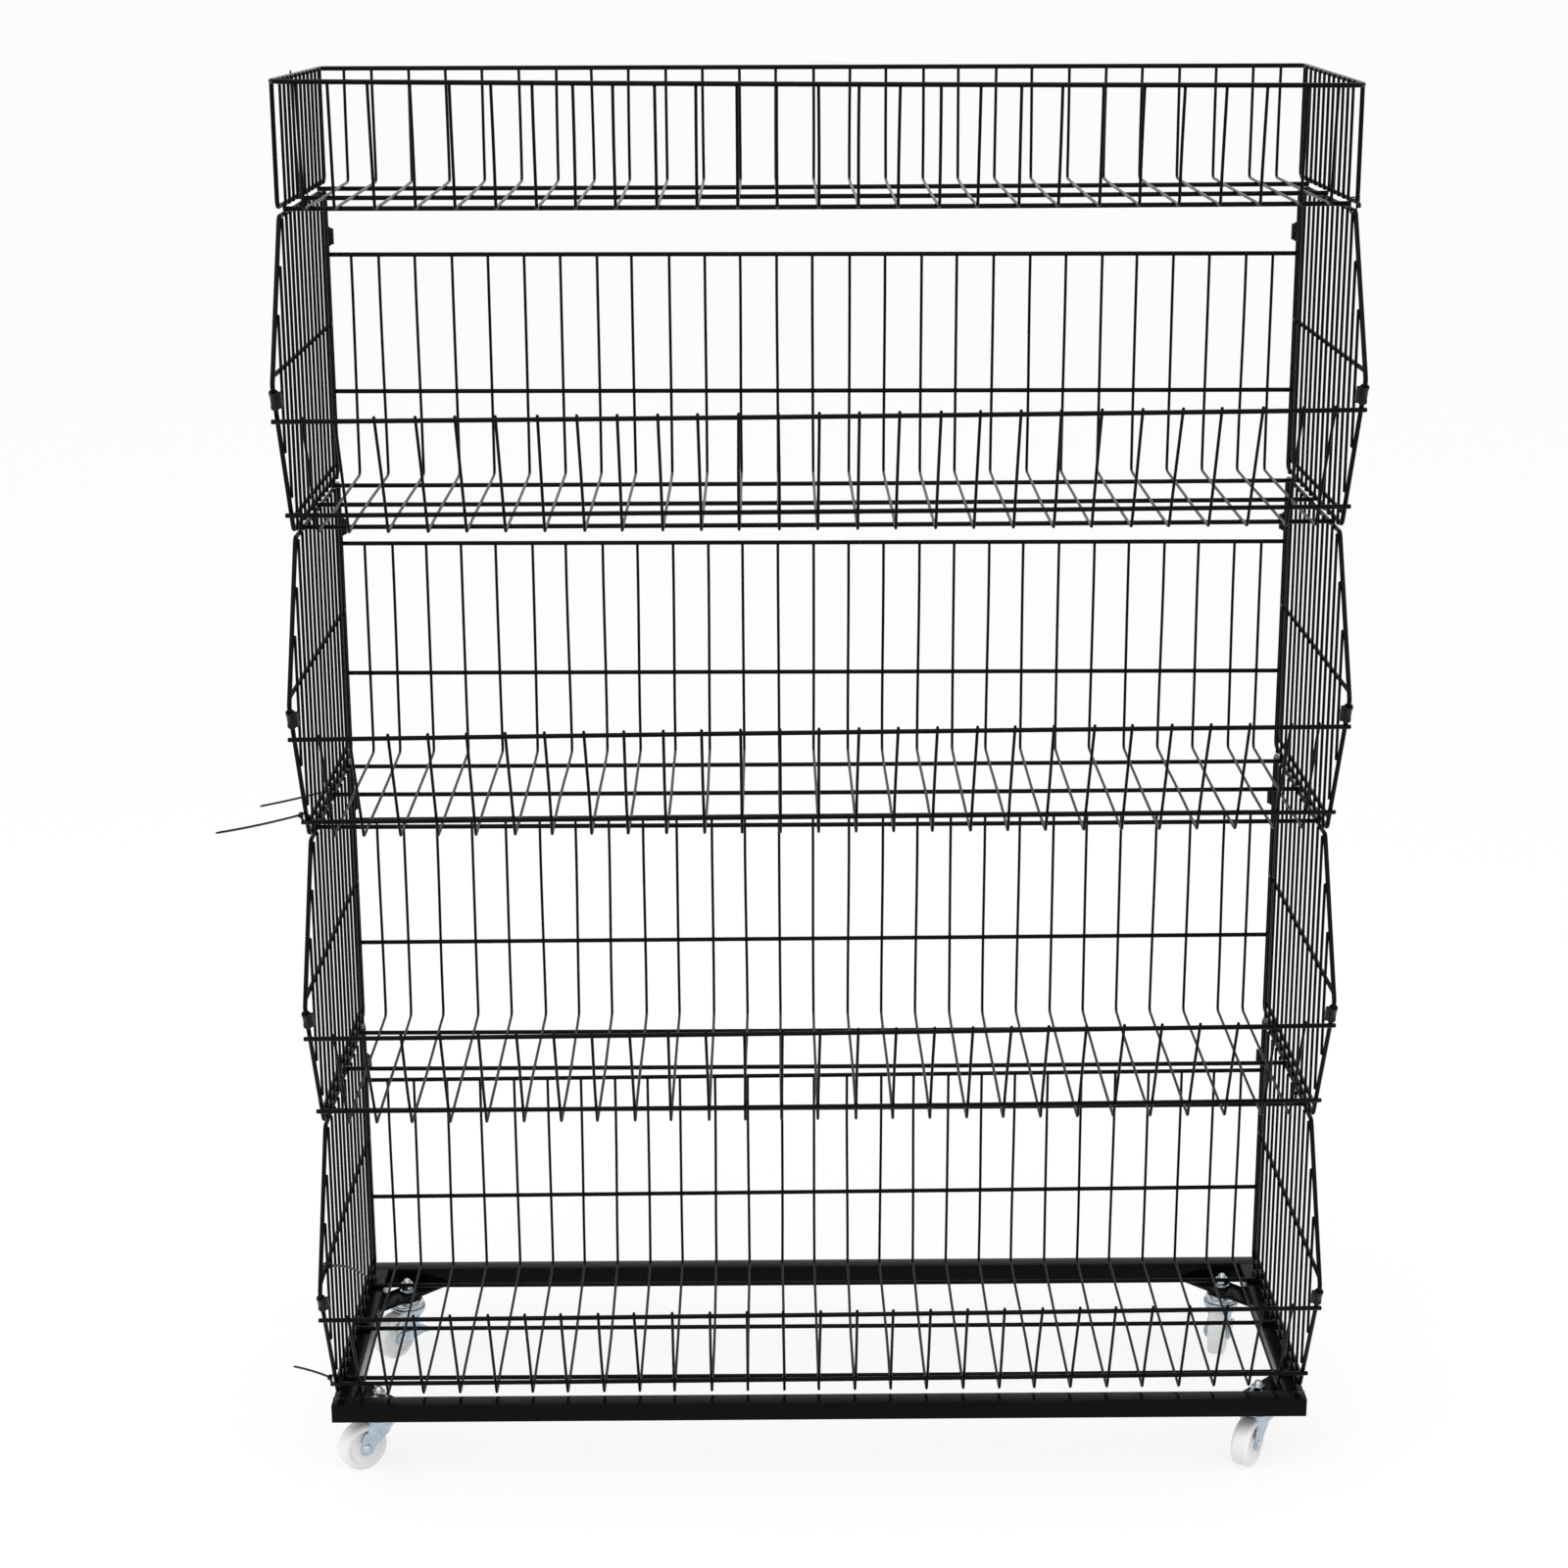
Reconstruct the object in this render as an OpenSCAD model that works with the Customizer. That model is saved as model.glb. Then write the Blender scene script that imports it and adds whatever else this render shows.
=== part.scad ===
// Mobile wire display rack: four tall wire baskets and a shallow top basket, stacked on a
// steel tube base with four swivel casters. X runs left to right, Y from front to back and
// Z up. The origin is on the ground under the middle of the base frame. Millimetres.

/* [Base frame] */
// Width of the base frame, left to right
base_w = 1000; // [800:10:1200]
// Depth of the base frame, front to back
base_d = 340; // [320:5:400]
// Outer size of the square tube
tube = 20; // [16:1:25]
// Wall of the square tube
tube_wall = 1.5; // [1:0.1:2]
// Width of the flat bar across each corner
strap_w = 30; // [24:1:34]
// Thickness of the flat bar
strap_t = 4; // [3:0.5:6]
// Distance from the frame's inner corner to the middle of the flat bar
strap_set = 33; // [30:1:40]

/* [Wire] */
// Diameter of the thin wires
thin_d = 2.7; // [2.5:0.1:3.4]
// Diameter of the thick wires
thick_d = 4.3; // [4.2:0.1:5]
// Diameter of the wires inside each side panel's border
rung_d = 4; // [3.6:0.1:4.2]
// How deep a spot weld sinks one wire into the other
weld = 0.5; // [0.3:0.1:0.8]
// Number of thin wires that run down the back, along the floor and up the front
wire_count = 27; // [21:1:31]
// Distance between the outermost thin wire and the end of the front rim
wire_margin = 28.5; // [26:0.5:40]
// Distance between the outermost thin wire and its neighbour
wire_end_gap = 28.5; // [24:0.5:38]
// Centre radius of the bends in the thin wires
bend_r = 6; // [5:0.5:9]
// Centre radius of the bends in the side panels' borders
border_r = 8; // [6:0.5:9]

/* [Baskets] */
// Number of tall baskets under the top basket
tall_count = 4; // [1:1:4]
// Height from one basket floor to the next
pitch = 300; // [280:5:330]
// Depth of the floor, from the back wires to the front bend
floor_d = 302; // [290:2:306]
// Set-back of the back wires from the rear face of the base
back_set = 20; // [16:1:26]
// Distance that each floor wire and side panel stops short of the rim's end
side_set = 4; // [3.5:0.5:6]
// Height of the back rim above the floor
back_h = 225; // [200:5:240]
// Height of the middle back wire above the floor
mid_h = 85; // [60:5:120]
// Height of the front rim above the floor
lip_h = 119; // [100:1:130]
// Forward reach of the front rim beyond the floor bend
lip_run = 63; // [40:1:70]
// Height of the lower front wire above the floor
lip_low_h = 21; // [16:1:30]
// Height of the middle wire of each side panel
side_mid_h = 157; // [145:1:170]
// Distance between the thin uprights of a side panel
side_pitch = 24.5; // [23.5:0.5:25]
// Gap between the two wires of the doubled back post and of the doubled bottom edge
hairpin = 12; // [10:1:14]
// Thin wire showing above the front rim
nub = 2.5; // [1.5:0.5:4]

/* [Top basket] */
// Height of the top basket's rim above its floor
top_h = 111; // [90:1:130]
// Outward lean of the top basket's front over its height
top_lean = 12; // [6:1:16]
// Radius of the top basket's front corners, seen from above
top_corner_r = 16; // [12:1:20]

/* [Lock sleeves] */
// Length of the sleeves on the side panels
sleeve_l = 19; // [14:1:22]
// Wall of the sleeves
sleeve_wall = 2.2; // [1.5:0.1:2.5]
// Gap along the wire between a rim and the sleeve above it
sleeve_gap = 9; // [6:1:12]

/* [Casters] */
// Wheel diameter
wheel_d = 50; // [48:1:52]
// Wheel width at the tread
wheel_w = 18; // [16:1:19]
// Distance from the swivel axis to the wheel axle
trail = 22; // [20:0.5:23]
// Height from the ground to the underside of the base frame
caster_h = 66; // [66:1:72]
// Stem diameter
stem_d = 8; // [7:0.5:9]
// Axle diameter
axle_d = 6; // [5:0.5:7]
// Sheet thickness of the fork
fork_t = 2; // [1.5:0.1:2.2]
// Diameter of the fork's top plate
fork_d = 36; // [34:1:38]
// Diameter of the bearing balls
ball_d = 5; // [4:0.2:5]
// Number of bearing balls in a caster
ball_count = 14; // [8:1:14]

/* [Cable ties] */
// Width of the cable tie strip
tie_w = 2.6; // [2:0.1:3.6]
// Thickness of the cable tie strip
tie_t = 1.2; // [1:0.1:1.5]

/* [Hidden] */
TALL = [for (t = [1:tall_count]) t];
TOP = tall_count + 1;
CORNERS = ["front_left", "front_right", "back_left", "back_right"];
$fn = 32;

black = "#15161a";
zinc = "#c3c9cc";
nylon = "#e9ebea";

// Clearances: pieces that rest on each other, and turning fits
seat = 0.25;
running = 0.05;
// How much thicker a border wire is in its cold bends
bend_swell = 0.1;

// Levels and places that follow from the sizes above
rail_z = caster_h;
rail_top = rail_z + tube;
thin_r = thin_d / 2;
thick_r = thick_d / 2;
stack = thin_r + thick_r - weld;
first_floor = rail_top + seat + thick_r + stack;
back_y = base_d / 2 - back_set;
wire_x = base_w / 2 - wire_margin;
side_x = base_w / 2 - side_set - thick_r + thin_r;
cross_end = base_w / 2 - side_set;
inset = thick_d + seat - stack;
side_top = pitch - stack - thick_r - seat - thick_r;
lip_angle = atan2(lip_h, lip_run);
cross_at = [46, floor_d / 2, floor_d - 38];

function floor_z(t) = first_floor + (t - 1) * pitch;
// Thin wires are evenly spaced but for the outermost at each end
inner_x = wire_x - wire_end_gap;
function wire_at(i) = i == 0 ? -wire_x : i == wire_count - 1 ? wire_x
    : -inner_x + (i - 1) * 2 * inner_x / (wire_count - 3);
// A point of a basket: distance forward from its back wires, and height above its floor
function at(x, u, h) = [x, -u, h];
// The lip's line: forward place of its thin wires at a height
function lip_u(h) = floor_d + lip_run * h / lip_h;

// A straight round bar from one point to another
module rod(a, b, d) {
    v = b - a;
    l = norm(v);
    translate(a)
        rotate([0, acos(v[2] / l), atan2(v[1], v[0])])
            cylinder(h = l, d = d);
}

function unit(v) = v / norm(v);
// Signed angle from one flat direction to another
function turn_of(a, b) = atan2(a[0] * b[1] - a[1] * b[0], a * b);

// A round wire bent at the corners of an outline in a side panel's plane. The outline's
// points are forward places and heights, and every corner turns the same way, to the left.
module bent_wire(x, points, r, d, closed = false) {
    n = len(points);
    last = closed ? n - 1 : n - 2;
    way = [for (i = [0:n - 1]) unit(points[(i + 1) % n] - points[i])];
    bend = [for (i = [0:n - 1]) !closed && (i == 0 || i == n - 1) ? 0
        : turn_of(way[(i + n - 1) % n], way[i])];
    for (i = [0:last]) {
        k = (i + 1) % n;
        a = points[i] + way[i] * r * tan(bend[i] / 2);
        b = points[k] - way[i] * r * tan(bend[k] / 2);
        rod(at(x, a[0], a[1]), at(x, b[0], b[1]), d);
    }
    for (i = [0:n - 1]) if (bend[i] != 0) {
        before = way[(i + n - 1) % n];
        start = points[i] - before * r * tan(bend[i] / 2);
        middle = start + r * [-before[1], before[0]];
        wire_arc(x, middle[0], middle[1], atan2(before[1], before[0]) - 90, bend[i], r,
            d + bend_swell);
    }
}

// Places a basket's own pieces: origin on its back wires at floor level
module in_basket(t) {
    translate([0, back_y, floor_z(t)]) children();
}

// A wire's arc in an upright plane, round a middle at a forward place and a height. Angles
// run from forward towards up.
module wire_arc(x, u, h, from, sweep, r, d) {
    translate(at(x, u, h))
        rotate([90, 0, -90])
            rotate([0, 0, from])
                rotate_extrude(angle = sweep) translate([r, 0]) circle(d = d);
}

// Tube rails of the base, open square tube
module rail(l) {
    difference() {
        translate([-l / 2, -tube / 2, -tube / 2]) cube([l, tube, tube]);
        translate([-l / 2 - 1, -tube / 2 + tube_wall, -tube / 2 + tube_wall])
            cube([l + 2, tube - 2 * tube_wall, tube - 2 * tube_wall]);
    }
}

// The plug that closes each open tube end of the long rails
module rail_ends() {
    for (s = [-1, 1]) translate([s * (base_w - tube_wall) / 2, 0, 0])
        cube([tube_wall, tube, tube], center = true);
}

module long_rail(s) {
    color(black) translate([0, s * (base_d - tube) / 2, rail_z + tube / 2]) {
        rail(base_w);
        rail_ends();
    }
}

module short_rail(s) {
    color(black) translate([s * (base_w - tube) / 2, 0, rail_z + tube / 2])
        rotate([0, 0, 90]) rail(base_d - 2 * tube);
}

// Middle of a caster, in plan
stem_in = strap_set / sqrt(2);
caster_x = base_w / 2 - tube - stem_in;
caster_y = base_d / 2 - tube - stem_in;
stem_hole_d = stem_d + 0.4;

// Sign of a corner along X and along Y, and the way that its caster trails
function side_of(c) = (c == 0 || c == 2) ? -1 : 1;
function end_of(c) = c < 2 ? -1 : 1;
heading = [215, 238, 229, 255];

module at_caster(c) {
    translate([side_of(c) * caster_x, end_of(c) * caster_y, 0]) children();
}

// Flat bar across one corner, cut to the rails' inner faces
module strap_plan() {
    half = strap_w / 2;
    near = (strap_set - half) * sqrt(2);
    far = (strap_set + half) * sqrt(2);
    polygon([[near, 0], [far, 0], [0, far], [0, near]]);
}

module base_corner_straps() {
    color(black) for (c = [0:3])
        difference() {
            translate([side_of(c) * (base_w / 2 - tube), end_of(c) * (base_d / 2 - tube), rail_z])
                mirror([side_of(c) > 0 ? 1 : 0, 0, 0]) mirror([0, end_of(c) > 0 ? 1 : 0, 0])
                    linear_extrude(strap_t) strap_plan();
            at_caster(c) translate([0, 0, rail_z - 1]) cylinder(h = strap_t + 2, d = stem_hole_d);
        }
}

// Caster: levels of its pieces above the ground
axle_z = wheel_d / 2;
plate_z = wheel_d + 2;
plate_top = plate_z + fork_t;
cup_z = plate_top + ball_d + 0.4;
cup_d = fork_d - 2;
cup_wall = 1.5;
pin_d = stem_d;
rivet_t = 2;
nut_flats = 13;
nut_h = 6.5;
washer_t = 2;
stem_top = rail_z + strap_t + washer_t + nut_h + 4;
cheek_in = wheel_w / 2 + 1.3;
cheek_out = cheek_in + fork_t;
ball_ring_r = 12;

// Fixed part of a caster: bearing cup, pivot pin with its riveted foot, and threaded stem
module caster_stems() {
    color(zinc) for (c = [0:3]) at_caster(c) {
        difference() {
            translate([0, 0, plate_top + 0.8]) cylinder(h = rail_z - plate_top - 0.8, d = cup_d);
            translate([0, 0, plate_top]) cylinder(h = cup_z - plate_top, d = cup_d - 2 * cup_wall);
        }
        translate([0, 0, plate_z - rivet_t]) cylinder(h = stem_top - plate_z + rivet_t, d = pin_d);
        translate([0, 0, plate_z - seat - rivet_t]) cylinder(h = rivet_t, d = pin_d + 5);
    }
}

module caster_nuts() {
    color(zinc) for (c = [0:3]) at_caster(c)
        translate([0, 0, rail_z + strap_t + washer_t])
            difference() {
                rotate([0, 0, 15]) cylinder(h = nut_h, d = nut_flats / cos(30), $fn = 6);
                translate([0, 0, -1]) cylinder(h = nut_h + 2, d = stem_d + 2 * running);
            }
}

module caster_lock_washers() {
    color(zinc) for (c = [0:3]) at_caster(c)
        translate([0, 0, rail_z + strap_t])
            difference() {
                cylinder(h = washer_t, d = nut_flats + 1);
                translate([0, 0, -1]) cylinder(h = washer_t + 2, d = stem_d + 2 * running);
            }
}

module caster_balls() {
    color(zinc) for (c = [0:3]) at_caster(c)
        for (i = [0:ball_count - 1]) rotate([0, 0, i * 360 / ball_count])
            translate([ball_ring_r, 0, plate_top + ball_d / 2 + 0.2]) sphere(d = ball_d);
}

// Moves a caster's turning pieces to their place: X runs along the trail, Y along the axle
module in_fork(c) {
    at_caster(c) rotate([0, 0, heading[c]]) children();
}

// Outline of a fork cheek, along the trail and up
module cheek_plan() {
    eye = axle_d / 2 + 5;
    polygon([
        [trail - eye * 0.94, axle_z + eye * 0.34], [-fork_d / 2 + 4, plate_z - 8],
        [-fork_d / 2 + 4, plate_top], [fork_d / 2 - 3, plate_top],
        [trail + eye * 0.8, axle_z + eye * 0.6], [trail, axle_z]
    ]);
    translate([trail, axle_z]) circle(r = eye);
}

module fork(c) {
    color(zinc) in_fork(c) difference() {
        union() {
            translate([0, 0, plate_z]) cylinder(h = fork_t, d = fork_d);
            for (s = [-1, 1]) translate([0, s * (cheek_in + fork_t / 2), 0])
                rotate([90, 0, 0]) linear_extrude(fork_t, center = true) cheek_plan();
        }
        translate([0, 0, plate_z - 1]) cylinder(h = fork_t + 2, d = pin_d + 2 * running);
        translate([trail, -cheek_out - 1, axle_z]) rotate([-90, 0, 0])
            cylinder(h = 2 * cheek_out + 2, d = axle_d + 2 * running);
    }
}

// Riveted axle; the back casters' axles also carry the brake lever's ears
ear_t = 1.5;
function has_brake(c) = c >= 2;

module axle(c) {
    half = cheek_out + seat + (has_brake(c) ? ear_t + seat : 0);
    color(zinc) in_fork(c) translate([trail, 0, axle_z]) rotate([90, 0, 0]) {
        cylinder(h = 2 * half, d = axle_d, center = true);
        for (s = [-1, 1]) translate([0, 0, s * (half + rivet_t / 2)])
            cylinder(h = rivet_t, d = axle_d + 4, center = true);
    }
}

module wheel(c) {
    edge = 3;
    web = 6;
    rim_in = wheel_d / 2 - 6;
    hub_r = axle_d / 2 + 4.5;
    half = wheel_w / 2;
    hub_half = cheek_in - 0.5;
    color(nylon) in_fork(c) translate([trail, 0, axle_z]) rotate([90, 0, 0])
        rotate_extrude() {
            polygon([
                [rim_in, -half], [wheel_d / 2 - edge, -half], [wheel_d / 2, -half + edge],
                [wheel_d / 2, half - edge], [wheel_d / 2 - edge, half], [rim_in, half]
            ]);
            translate([hub_r - 1, -web / 2]) square([rim_in - hub_r + 2, web]);
            translate([axle_d / 2 + running, -hub_half])
                square([hub_r - axle_d / 2 - running, 2 * hub_half]);
        }
}

// Brake lever: two ears on the axle, joined by a pressed pedal on the side away from the trail
lever_l = 33;
pedal_l = 13;
pedal_drop = 6;

module lever_plan(root_r) {
    polygon([
        [0, root_r], [-lever_l, root_r * 0.55 - pedal_drop * 0.4],
        [-lever_l, -root_r * 0.35 - pedal_drop * 0.4], [0, -root_r]
    ]);
    circle(r = root_r);
}

module brake(c) {
    ear_r = axle_d / 2 + 4;
    gap = cheek_out + seat;
    color(zinc) in_fork(c) translate([trail, 0, axle_z]) difference() {
        union() {
            for (s = [-1, 1]) translate([0, s * (gap + ear_t / 2), 0])
                rotate([90, 0, 0]) linear_extrude(ear_t, center = true) lever_plan(ear_r);
            translate([-lever_l - pedal_l + ear_t, -gap - ear_t, -pedal_drop])
                cube([pedal_l, 2 * (gap + ear_t), ear_t]);
            translate([-lever_l, -gap - ear_t, -pedal_drop])
                cube([ear_t, 2 * (gap + ear_t), ear_r]);
        }
        rotate([90, 0, 0])
            cylinder(h = 2 * (gap + ear_t) + 2, d = axle_d + 2 * running, center = true);
    }
}

// Back grid of a tall basket: thin wires down the back, thick rim and middle wire behind them
module basket_back(t) {
    color(black) in_basket(t) {
        for (i = [0:wire_count - 1])
            rod(at(wire_at(i), 0, bend_r), at(wire_at(i), 0, back_h + thin_r), thin_d);
        for (h = [mid_h, back_h])
            rod(at(-cross_end, -stack, h), at(cross_end, -stack, h), thick_d);
    }
}

// Floor grid: thin wires from the back bend to the front bend, thick wires under them.
// The bend at the front turns by the lip's angle.
module floor_grid(turn) {
    reach = bend_r * tan(turn / 2);
    for (i = [0:wire_count - 1]) {
        x = wire_at(i);
        wire_arc(x, bend_r, bend_r, 180, 90, bend_r, thin_d);
        rod(at(x, bend_r, 0), at(x, floor_d - reach, 0), thin_d);
        wire_arc(x, floor_d - reach, bend_r, 270, turn, bend_r, thin_d);
    }
    for (u = cross_at) rod(at(-cross_end, u, -stack), at(cross_end, u, -stack), thick_d);
}

module basket_floor(t) {
    color(black) in_basket(t) floor_grid(lip_angle);
}

// Front lip: thin wires from the front bend to the rim, thick wires outside them
module lip_grid(turn, heights, top, half_w) {
    reach = bend_r * tan(turn / 2);
    start = [floor_d - reach + bend_r * sin(turn), bend_r * (1 - cos(turn))];
    slope = [cos(turn), sin(turn)];
    out = [sin(turn), -cos(turn)] * stack;
    l = (top - start[1]) / slope[1];
    for (i = [0:wire_count - 1]) {
        x = wire_at(i);
        rod(at(x, start[0], start[1]), at(x, start[0] + l * slope[0], start[1] + l * slope[1]),
            thin_d);
    }
    for (h = heights) {
        u = start[0] + (h - start[1]) * slope[0] / slope[1] + out[0];
        rod(at(-half_w, u, h + out[1]), at(half_w, u, h + out[1]), thick_d);
    }
}

module basket_front(t) {
    color(black) in_basket(t) lip_grid(lip_angle, [lip_low_h, lip_h], lip_h + nub, base_w / 2);
}

// Side panel of a tall basket: corner points of its border, from the back bottom corner
// forward and round
shoulder_u = floor_d - 8;
nose_h = lip_h + sleeve_gap + sleeve_l + 2;
function inner_u(h) = lip_u(h) - inset / sin(lip_angle);
nose_u = inner_u(nose_h);
border = [
    [inset, inset], [inner_u(inset), inset], [nose_u, nose_h], [shoulder_u, side_top],
    [inset, side_top]
];
// Forward place of the border's front edge at a height: above the nose it leans back
function front_u(h) = h <= nose_h ? inner_u(h)
    : nose_u + (shoulder_u - nose_u) * (h - nose_h) / (side_top - nose_h);
// Height of the border above and below at a place forward of the back
function edge_top(u) = u <= shoulder_u ? side_top
    : side_top + (nose_h - side_top) * (u - shoulder_u) / (nose_u - shoulder_u);
function edge_low(u) = u <= inner_u(inset) ? inset
    : inset + (nose_h - inset) * (u - inner_u(inset)) / (nose_u - inner_u(inset));

// Place of the first thin upright behind the doubled post
first_upright = inset + hairpin + side_pitch / 2;

module side_panel(s) {
    bx = s * side_x;
    wx = s * (side_x - stack);
    bent_wire(bx, border, border_r, thick_d, closed = true);
    // Doubled back post, doubled bottom edge and middle wire
    rod(at(bx, inset + hairpin, inset), at(bx, inset + hairpin, side_top), rung_d);
    for (h = [inset + hairpin, side_mid_h]) rod(at(bx, inset, h), at(bx, front_u(h), h), rung_d);
    // Thin uprights on the inner face
    for (u = [first_upright:side_pitch:nose_u - side_pitch / 2])
        rod(at(wx, u, edge_low(u)), at(wx, u, edge_top(u)), thin_d);
}

module basket_side(t, s) {
    color(black) in_basket(t) side_panel(s);
}

// Lock sleeves: one on each panel's front edge above the front rim, one on the back post above
// the back rim
sleeve_d = thick_d + 2 * running + 2 * sleeve_wall;
chamfer = 1;
module sleeve() {
    difference() {
        union() {
            translate([0, 0, chamfer]) cylinder(h = sleeve_l - 2 * chamfer, d = sleeve_d);
            cylinder(h = chamfer, d1 = sleeve_d - 2 * chamfer, d2 = sleeve_d);
            translate([0, 0, sleeve_l - chamfer])
                cylinder(h = chamfer, d1 = sleeve_d, d2 = sleeve_d - 2 * chamfer);
        }
        translate([0, 0, -1]) cylinder(h = sleeve_l + 2, d = thick_d + 2 * running);
    }
}

module basket_sleeves(t) {
    low = lip_h + sleeve_gap * sin(lip_angle);
    color(black) in_basket(t) for (s = [-1, 1]) {
        translate(at(s * side_x, inner_u(low), low)) rotate([90 - lip_angle, 0, 0]) sleeve();
        translate(at(s * side_x, inset, back_h + thick_r + sleeve_gap)) sleeve();
    }
}

// Top basket: low and nearly upright
top_angle = atan2(top_h, top_lean);

module top_back() {
    color(black) in_basket(TOP) {
        for (i = [0:wire_count - 1])
            rod(at(wire_at(i), 0, bend_r), at(wire_at(i), 0, top_h + thin_r), thin_d);
        rod(at(-cross_end, -stack, top_h), at(cross_end, -stack, top_h), thick_d);
    }
}

module top_floor() {
    color(black) in_basket(TOP) floor_grid(top_angle);
}

// Forward place of the top basket's front rim, and of the start of its rounded corners
top_rim_u = floor_d + top_lean + stack * sin(top_angle);
top_corner_u = top_rim_u - top_corner_r;
top_rim_h = top_h - stack * cos(top_angle);

module top_front() {
    color(black) in_basket(TOP) {
        lip_grid(top_angle, [top_h], top_h + thin_r, side_x - top_corner_r);
        for (s = [-1, 1]) translate(at(s * (side_x - top_corner_r), top_corner_u, top_rim_h))
            rotate([0, 0, s > 0 ? -90 : 180])
                rotate_extrude(angle = 90) translate([top_corner_r, 0]) circle(d = thick_d);
    }
}

module top_side(s) {
    bx = s * side_x;
    wx = s * (side_x - stack);
    color(black) in_basket(TOP) {
        front = top_corner_u - thick_r;
        bent_wire(bx, [[top_corner_u, top_rim_h], [inset, top_rim_h], [inset, inset],
            [floor_d - inset, inset]], border_r, thick_d);
        rod(at(bx, floor_d - inset, inset), at(bx, front, top_rim_h), rung_d);
        for (u = [first_upright:side_pitch:floor_d - side_pitch / 2])
            rod(at(wx, u, inset), at(wx, u, top_rim_h), thin_d);
    }
}

// Cable ties. Each has a band, a head on its outer side and a tail that runs from the head.
tie_slack = 0.2;
tie_head = [3.6, 4.6, 4.4];
// Place between two uprights of a side panel, counted from the back
function between(n) = first_upright + (n - 0.5) * side_pitch;

// Band round a space of a by b, its head on the side that s names, in the plane X and Y
module tie_band(a, b, s) {
    linear_extrude(tie_w, center = true) difference() {
        square([a + 2 * tie_t, b + 2 * tie_t], center = true);
        square([a, b], center = true);
    }
    translate([s * (a / 2 + tie_t + tie_head[0] / 2 - weld), 0, 0]) cube(tie_head, center = true);
}

// A flat tail from the head, along a vector
module tie_tail(v) {
    l = norm(v);
    rotate([0, acos(v[2] / l), atan2(v[1], v[0])])
        translate([-tie_t / 2, -tie_w / 2, 0]) cube([tie_t, tie_w, l]);
}

band_a = thick_d + 2 * tie_slack;
head_x = band_a / 2 + tie_t + tie_head[0] / 2 - weld;

// Tie round a basket's bottom rail and the top rail of the panel below it
module stack_tie(t, s, n, tail) {
    low = side_top - pitch;
    in_basket(t) translate(at(s * side_x, between(n), (inset + low) / 2)) {
        rotate([90, 0, 0]) tie_band(band_a, inset - low + thick_d + 2 * tie_slack, s);
        translate([s * head_x, 0, 0]) tie_tail(tail);
    }
}

// Tie round the end of the lower front wire and the panel's front edge. It crosses both wires
// at half a right angle, so its space is longer by its own width.
corner_a = (thick_d + 2 * tie_slack) * sqrt(2) + tie_w;
corner_head = (corner_a / 2 + tie_t + tie_head[0] / 2 - weld) / sqrt(2);
module corner_tie(t, s, tail) {
    gap = thick_d + seat;
    slope = [cos(lip_angle), sin(lip_angle)];
    middle = [lip_u(lip_low_h), lip_low_h] + (stack - gap / 2) * [slope[1], -slope[0]];
    head = middle + corner_head * slope;
    in_basket(t) {
        translate(at(s * side_x, middle[0], middle[1]))
            rotate([90 - lip_angle, 0, 0])
                rotate([0, -s * 45, 0])
                    tie_band(corner_a, gap + thick_d + 2 * tie_slack, s);
        translate(at(s * (side_x + corner_head), head[0], head[1])) tie_tail(tail);
    }
}

// Tie round the middle wire of a side panel, its head on the inner side
module side_tie(t, s, n, tail) {
    in_basket(t) translate(at(s * side_x, between(n), side_mid_h)) {
        rotate([90, 0, 0]) tie_band(band_a, band_a, -s);
        translate([-s * head_x, 0, 0]) tie_tail(tail);
    }
}

module cable_ties() {
    color(black) {
        stack_tie(3, -1, 5, [-62, -60, 12]);
        corner_tie(3, -1, [-66, -95, 14]);
        side_tie(1, -1, 13, [25, 65, -43]);
        corner_tie(1, -1, [-34, -18, 22]);
        stack_tie(TOP, 1, 11, [2, 20, 88]);
        stack_tie(TOP, -1, 5, [-2, -6, 122]);
    }
}

long_rail(-1);  // base_front_rail
long_rail(1);  // base_back_rail
short_rail(-1);  // base_left_rail
short_rail(1);  // base_right_rail
base_corner_straps();
caster_stems();
caster_nuts();
caster_lock_washers();
caster_balls();
for (c = [0:3]) {
    fork(c);
    axle(c);
    wheel(c);
}
brake(2);  // brake_back_left
brake(3);  // brake_back_right
for (t = TALL) {
    basket_back(t);
    basket_floor(t);
    basket_front(t);
    basket_side(t, -1);
    basket_side(t, 1);
    basket_sleeves(t);
}
top_back();
top_floor();
top_front();
top_side(-1);  // top_left_side
top_side(1);  // top_right_side
cable_ties();
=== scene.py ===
"""Looks of a mobile wire display rack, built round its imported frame.

The rack is four tall wire baskets and a shallow top basket on a square tube base with four
swivel casters. Sizes are millimetres until a mesh is finished, and metres from there on.
"""

import logging
import math
from dataclasses import dataclass, field
from enum import Enum
from typing import Callable, ClassVar, Iterable, Optional, Sequence

import bpy
from mathutils import Matrix, Vector

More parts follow.
